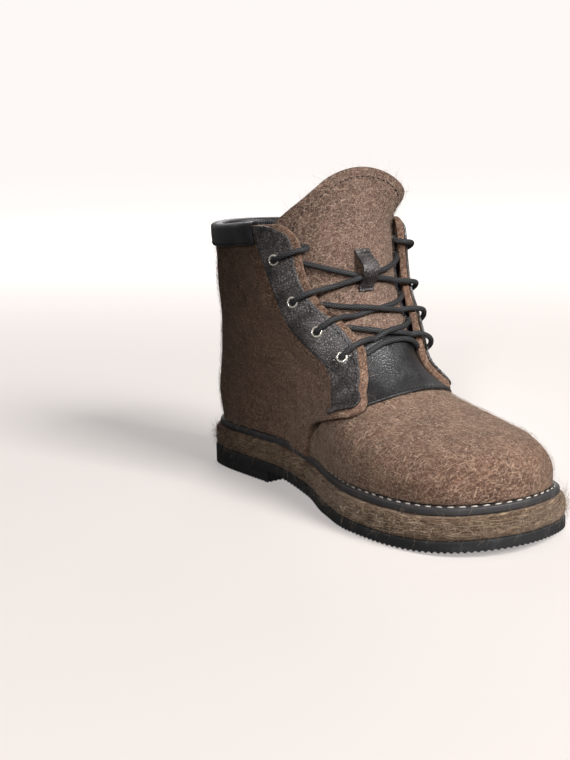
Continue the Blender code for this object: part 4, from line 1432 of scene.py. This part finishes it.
def buildBinding():
    turn = collarTurns(bindingSizes["columns"])
    rings = [collarRing(turn, offset, drop) for offset, drop in bindingSection()]
    shape = newShape()
    layGrid(shape, np.stack(rings + rings[:1]))
    bmesh.ops.remove_doubles(shape, verts=shape.verts, dist=1e-7)
    closeHoles(shape)
    makePiece("collarBinding", shape, "bindingLeather", ["collar_binding"], sharp=50)
    line = collarRing(turn, leatherSkin + bindingSizes["stitchRise"],
                      bindingSizes["stitchUp"] - bindingHeight)
    outward = line - line.mean(axis=0)
    outward[:, 2] = 0
    makeStitches("bindingStitches", [(line, outward)], leatherSizes)
    print("collar binding made")


liningSizes = {"foot": 0.060, "rows": 30, "columns": 200, "thickness": 0.0004,
               "belowCollar": 0.0010, "gap": 0.0006, "bindingGap": 0.0001, "step": (0.004, 0.003)}
gussetSizes = {"heights": (0.066, 0.148), "rows": 60, "columns": 16, "tongue": 0.94,
               "past": 0.16, "reach": 0.6, "gap": 0.0008, "sunk": 0.0024}


def buildLining():
    turn = collarTurns(liningSizes["columns"])
    top = collarZ(formPoint(turn, collarHeight)[..., 1]) - liningSizes["belowCollar"]
    share = np.linspace(0, 1, liningSizes["rows"])[:, None]
    heights = liningSizes["foot"] + (top - liningSizes["foot"])[None, :] * share
    above, run = liningSizes["step"]
    depth = liningSizes["gap"] + (leatherSkin + liningSizes["bindingGap"]) * ease(
        (heights - top + bindingHeight + above) / run)
    points = formPoint(turn[None, :] + 0 * heights, heights)
    outward = normals(points)
    outer = points + outward * (liftAt(points) - feltThickness - depth)[..., None]
    inner = outer - outward * liningSizes["thickness"]
    makePiece("collarLining", shellOf(outer, inner), "lining", (), sharp=50)
    for name, side in bootSides:
        z = np.linspace(*gussetSizes["heights"], gussetSizes["rows"])[:, None]
        share = np.linspace(0, 1, gussetSizes["columns"])[None, :]
        start = np.abs(tongueTurn(side * gussetSizes["tongue"] + 0 * z, z))
        end = np.abs(side * turnAt(edgeY(z, side), z)) + gussetSizes["past"]
        turns = side * (start + (end - start) * share)
        points = formPoint(turns, z + 0 * turns)
        under = ease(share / gussetSizes["reach"])
        lift = ((liftAt(points) - feltThickness - gussetSizes["gap"]) * under
                - gussetSizes["sunk"] * (1 - under))
        outward = normals(points)
        outer = points + outward * lift[..., None]
        inner = outer - outward * liningSizes["thickness"]
        makePiece(f"gusset{name.capitalize()}", shellOf(outer, inner), "gusset",
                  (), sharp=50)
    print("lining made")


eyeletSizes = {"steps": 32, "roll": 0.00095, "rollPoints": 9, "wall": 0.00045,
               "rise": 0.0001, "depth": 0.9}


def buildEyelets():
    roll, rise = eyeletSizes["roll"], eyeletSizes["rise"]
    middle = (eyeletHole + eyeletFlange) / 2
    half = (eyeletFlange - eyeletHole) / 2
    foot = -leatherSkin - feltThickness * eyeletSizes["depth"]
    wall = eyeletHole + eyeletSizes["wall"]
    profile = [(eyeletHole, foot)]
    for angle in np.linspace(math.pi, 0, eyeletSizes["rollPoints"]):
        profile.append((middle + half * math.cos(angle), rise + roll * math.sin(angle)))
    profile += [(wall, -rise), (wall, foot)]
    for name, number, point, normal in seats:
        shape = newShape()
        ring = [shape.verts.new((radius, 0, height)) for radius, height in profile]
        for first, second in zip(ring, ring[1:] + ring[:1]):
            shape.edges.new((first, second))
        bmesh.ops.spin(shape, geom=list(shape.verts) + list(shape.edges), axis=(0, 0, 1),
                       angle=2 * math.pi, steps=eyeletSizes["steps"], use_merge=True)
        turned = Vector((0, 0, 1)).rotation_difference(normal).to_matrix().to_4x4()
        turned.translation = point + normal * (leatherSkin + rise)
        bmesh.ops.transform(shape, matrix=turned, verts=shape.verts)
        makePiece(f"eyelet{name.capitalize()}{number + 1}", shape, "nickel",
                  [f"eyelet_{name}_{number + 1}"], sharp=60)
    print("eyelets made")


loopSizes = {
    "rows": (40, 0.0006, loopLength), "columns": (12, 0.0006, loopWidth), "edgeRound": 0.0004,
    "flat": 0.04, "run": 0.44, "seams": (8, -9), "seamEnds": 3,
    "stitchPitch": 0.0022, "stitchLength": 0.0017, "stitchThickness": 0.0007,
}
nudge = 1e-5    # keeps the keeper's middle column off the form's centre line


def buildLoop():
    rows = closeSpread(*loopSizes["rows"])
    across = 2 * closeSpread(*loopSizes["columns"]) - 1
    middle = loopMiddle * collarHeight
    inner = np.zeros((len(rows), len(across), 3))
    for row, share in enumerate(rows):
        z = middle + loopLength * (share - 0.5)
        bow = loopBow * float(ease((min(share, 1 - share) - loopSizes["flat"])
                                   / loopSizes["run"]))
        for spot, side in enumerate(across):
            turn = turnAcross(side * loopWidth / 2 + nudge, z)
            inner[row, spot] = formOffset(turn, z, 2 * clearance + bow)
    outward = normals(inner)
    drop = edgeDrop(inner, loopSizes["edgeRound"])
    outer = inner + outward * (leatherThickness - drop)[..., None]
    makePiece("laceKeeper", shellOf(outer, inner), "facingLeather",
              ["lace_loop"], sharp=50)
    inside = slice(loopSizes["seamEnds"], -loopSizes["seamEnds"])
    lines = [(outer[row, inside], outward[row, inside]) for row in loopSizes["seams"]]
    makeStitches("keeperStitches", lines, loopSizes)
    print("lace keeper made")


laceSizes = {
    "sides": 14, "step": 0.0007, "under": 0.0018, "inBore": 0.4, "aboveEyelet": 0.0010,
    "tuck": 0.004, "tuckGap": 0.0002, "barPoints": 12, "pathStep": 2,
}


def throughEyelet(side, number):
    # from under the flap up through the eyelet
    y, z = eyeletPlace(side, number)
    return [placeOnQuarter(side, y, z, offset)[0] for offset in (
        -feltThickness - laceSizes["under"], -feltThickness * laceSizes["inBore"],
        leatherSkin + laceSizes["aboveEyelet"])]


def cordPath(route):
    route = np.array(route)
    total = np.linalg.norm(np.diff(route, axis=0), axis=1).sum()
    return smoothRoute(route, int(total / laceSizes["step"]))


def buildLaces():
    radius = laceWidth / 2
    deep = -feltThickness - radius - laceSizes["tuckGap"]
    for number in range(len(eyeletTable) - 1):
        for name, side in bootSides:
            over = (side < 0) == (number % 2 == 0)
            route = throughEyelet(side, number + 1) + crossingRoute(side, number, over)[1:]
            y, z = eyeletPlace(-side, number)
            route.append(placeOnQuarter(-side, y - laceSizes["tuck"], z, deep)[0])
            shape, _ = tubeShape(cordPath(route), radius, laceSizes["sides"])
            makePiece(f"laceStrand{name.capitalize()}{number + 1}", shape, "lace",
                      [f"lace_crossing_{number + 1}"])
    z = eyeletTable[-1][0] * collarHeight + barRise
    count = laceSizes["barPoints"]
    ends = [edgeTurn(side, z) for _, side in bootSides]
    bar = [formOffset(turn, z + barArch * (1 - (2 * share - 1) ** 2),
                      radius + leatherSkin + clearance)
           for share, turn in zip(np.linspace(0, 1, count), np.linspace(*ends, count))]
    shape, _ = tubeShape(cordPath(bar), radius, laceSizes["sides"])
    makePiece("laceBar", shape, "lace", ["lace_bar"])
    for name, side in bootSides:
        z = eyeletTable[0][0] * collarHeight
        edge = edgeTurn(side, z)
        route = throughEyelet(side, 0)[1:] + laceStart(side, 0, crossings[0][0])[1:]
        # over the flap's edge and back behind it: turn past the edge, rise and height
        for past, rise, lift in (
            (-0.05, 0.0060, flapLift), (-0.05, 0.0070, radius + 2 * clearance),
            (0.04, 0.0080, radius + clearance), (0.13, 0.0085, radius + clearance),
        ):
            route.append(formOffset(edge + side * past, z + rise, lift))
        path = cordPath(route)
        shape, length = tubeShape(path, radius, laceSizes["sides"])
        piece = makePiece(f"laceEnd{name.capitalize()}", shape, "lace",
                          [f"lace_end_{name}"])
        line = path + np.array([centreShift, 0, 0])
        tuple(line[0])
        [tuple(place) for place in line[::laceSizes["pathStep"]]]
        print("lace end", name, round(length, 4))
    print("laces made")


hairSizes = {
    "perSheet": (6000, 6500, 2600, 2600), "length": (0.0025, 0.0085), "thickness": 0.00010,
    "lift": 0.0011, "liftShare": (0.3, 1.6), "bend": 0.6, "segments": 3, "taper": 0.5,
    "arch": 0.8, "endLift": 0.3, "sunk": 0.0001, "corners": (0.5, 2.6, 4.7), "pale": 0.75,
}


def addHair(shape, start, way, up, length, draw):
    # a short fibre that leaves the felt, arches over it and comes back
    side = way.cross(up)
    bend = draw.uniform(-hairSizes["bend"], hairSizes["bend"])
    lift = hairSizes["lift"] * draw.uniform(*hairSizes["liftShare"])
    segments = hairSizes["segments"]
    before = None
    for index in range(segments + 1):
        share = index / segments
        arch = lift * 4 * share * (1 - share) * hairSizes["arch"]
        height = arch + lift * hairSizes["endLift"] * share - hairSizes["sunk"]
        centre = start + way * length * share + side * bend * length * share * share + up * height
        width = hairSizes["thickness"] / 2 * (1 - hairSizes["taper"] * share)
        ring = [shape.verts.new(centre + (side * math.cos(a) + up * math.sin(a)) * width)
                for a in hairSizes["corners"]]
        if before:
            for first in range(3):
                second = (first + 1) % 3
                shape.faces.new((before[first], before[second], ring[second], ring[first]))
        else:
            shape.faces.new(ring[::-1])
        before = ring
    shape.faces.new(before)


def buildHairs(name, sheet, count, draw):
    points, outward = sheet
    shapes = {"paleHair": bmesh.new(), "darkHair": bmesh.new()}
    rows, columns = points.shape[:2]
    for _ in range(count):
        row, column = draw.randrange(2, rows - 2), draw.randrange(2, columns - 2)
        up = Vector(outward[row, column])
        way = up.cross(Vector((draw.gauss(0, 1), draw.gauss(0, 1), draw.gauss(0, 1))))
        shape = shapes["paleHair" if draw.random() < hairSizes["pale"] else "darkHair"]
        addHair(shape, Vector(points[row, column]), way.normalized(), up,
                draw.uniform(*hairSizes["length"]), draw)
    for finish, shape in shapes.items():
        makePiece(name + finish.capitalize(), shape, finish)
    print("stray fibres made on", name)


buildSole()
midsoleSheet = buildMidsole()
buildWelt()
quarterSheet, vampSheet = buildUpper()
tongueSheet = buildTongue()
buildFacings()
buildPatch()
buildBinding()
buildLining()
buildEyelets()
buildLoop()
buildLaces()
draw = random.Random(7)
for name, sheet, count in zip(("quarters", "vamp", "tongue", "midsole"),
                              (quarterSheet, vampSheet, tongueSheet, midsoleSheet),
                              hairSizes["perSheet"]):
    buildHairs(name, sheet, count, draw)

insole = bpy.data.objects["insole"]
insole.data.materials[0] = finishes["tongueFelt"]


studio = {
    "cameraAt": (-0.4691, -0.5462, 0.2098), "yaw": 37.0, "pitch": 11.11, "roll": -1.25,
    "lens": 60.1, "sensor": 36, "ambient": 0.02, "gloss": 0.30, "air": (1.0, 0.97, 0.95),
    "paper": (0.54, 0.49, 0.46), "paperRoughness": 0.9, "bounce": (0.07, 0.065, 0.06),
    "glow": (0.59, 0.36), "glowReach": (0.15, 2.2), "backdrop": (0.99, 0.945, 0.925),
    "floorSize": 6, "floorDrop": 0.0002, "spotAngle": 8.5,
}
lamps = (
    ("keyLight", "AREA", (0.25, -2.35, 1.75), (0, -0.02, 0.07), 115.0, 1.1),
    ("topLight", "AREA", (0.5, -0.6, 2.4), (0, -0.02, 0.07), 6.0, 1.6),
    ("backLight", "AREA", (1.3, 1.6, 1.2), (0, 0.05, 0.07), 14.0, 1.0),
    ("sideLight", "SPOT", (-1.15, -0.95, 0.65), (-0.03, -0.075, 0.085), 120.0, 0.10),
)


def buildStudio():
    floor = bmesh.new()
    bmesh.ops.create_grid(floor, x_segments=1, y_segments=1, size=studio["floorSize"])
    mesh = bpy.data.meshes.new("studioFloor")
    floor.to_mesh(mesh)
    floor.free()
    plate = bpy.data.objects.new("studioFloor", mesh)
    plate.location.z = -studio["floorDrop"]
    paper = bpy.data.materials.new("palePaper")
    paper.use_nodes = True
    tree = paper.node_tree
    shader = tree.nodes["Principled BSDF"]
    seen = tree.nodes.new("ShaderNodeLightPath").outputs["Is Camera Ray"]
    tint = mixColor(tree, seen, (*studio["bounce"], 1), (*studio["paper"], 1))
    tree.links.new(tint, shader.inputs["Base Color"])
    shader.inputs["Roughness"].default_value = studio["paperRoughness"]
    shader.inputs["Emission Color"].default_value = (*studio["backdrop"], 1)
    place = tree.nodes.new("ShaderNodeTexCoord").outputs["Object"]
    away = addNode(tree, "ShaderNodeVectorMath", {0: place}, operation="LENGTH").outputs["Value"]
    far = smoothMask(tree, away, *studio["glowReach"])
    glow = calculate(tree, "MULTIPLY_ADD", far, *studio["glow"])
    tree.links.new(calculate(tree, "MULTIPLY", seen, glow), shader.inputs["Emission Strength"])
    mesh.materials.append(paper)
    bpy.context.scene.collection.objects.link(plate)
    world = bpy.data.worlds.new("studioWorld")
    bpy.context.scene.world = world
    world.use_nodes = True
    tree = world.node_tree
    backdrop = tree.nodes["Background"]
    ray = tree.nodes.new("ShaderNodeLightPath").outputs
    seen = ray["Is Camera Ray"]
    tint = mixColor(tree, seen, (*studio["air"], 1), (*studio["backdrop"], 1))
    tree.links.new(tint, backdrop.inputs["Color"])
    mirrored = calculate(tree, "MULTIPLY", ray["Is Glossy Ray"], studio["gloss"])
    strength = calculate(tree, "MAXIMUM", mirrored, studio["ambient"])
    strength = calculate(tree, "MAXIMUM", seen, strength)
    tree.links.new(strength, backdrop.inputs["Strength"])
    for name, kind, place, aim, energy, size in lamps:
        light = bpy.data.lights.new(name, kind)
        light.energy = energy
        if kind == "SPOT":
            light.spot_size, light.spot_blend = math.radians(studio["spotAngle"]), 1.0
            light.shadow_soft_size = size
        else:
            light.size = size
        lamp = bpy.data.objects.new(name, light)
        lamp.location = place
        lamp.rotation_euler = (Vector(aim) - lamp.location).to_track_quat("-Z", "Y").to_euler()
        bpy.context.scene.collection.objects.link(lamp)


def buildCamera():
    yaw, pitch, roll = (math.radians(studio[key]) for key in ("yaw", "pitch", "roll"))
    look = Vector((math.sin(yaw), math.cos(yaw), 0))
    forward = look * math.cos(pitch) + Vector((0, 0, -math.sin(pitch)))
    up = look * math.sin(pitch) + Vector((0, 0, math.cos(pitch)))
    right = forward.cross(up)
    turnedRight = right * math.cos(roll) + up * math.sin(roll)
    turnedUp = up * math.cos(roll) - right * math.sin(roll)
    lens = bpy.data.cameras.new("bootCamera")
    lens.sensor_width = studio["sensor"]
    lens.lens = studio["lens"]
    camera = bpy.data.objects.new("bootCamera", lens)
    place = Matrix((turnedRight, turnedUp, -forward)).transposed().to_4x4()
    place.translation = Vector(studio["cameraAt"])
    camera.matrix_world = place
    bpy.context.scene.collection.objects.link(camera)
    bpy.context.scene.camera = camera


buildStudio()
buildCamera()
bpy.context.scene.view_settings.view_transform = "Standard"
print("studio made")
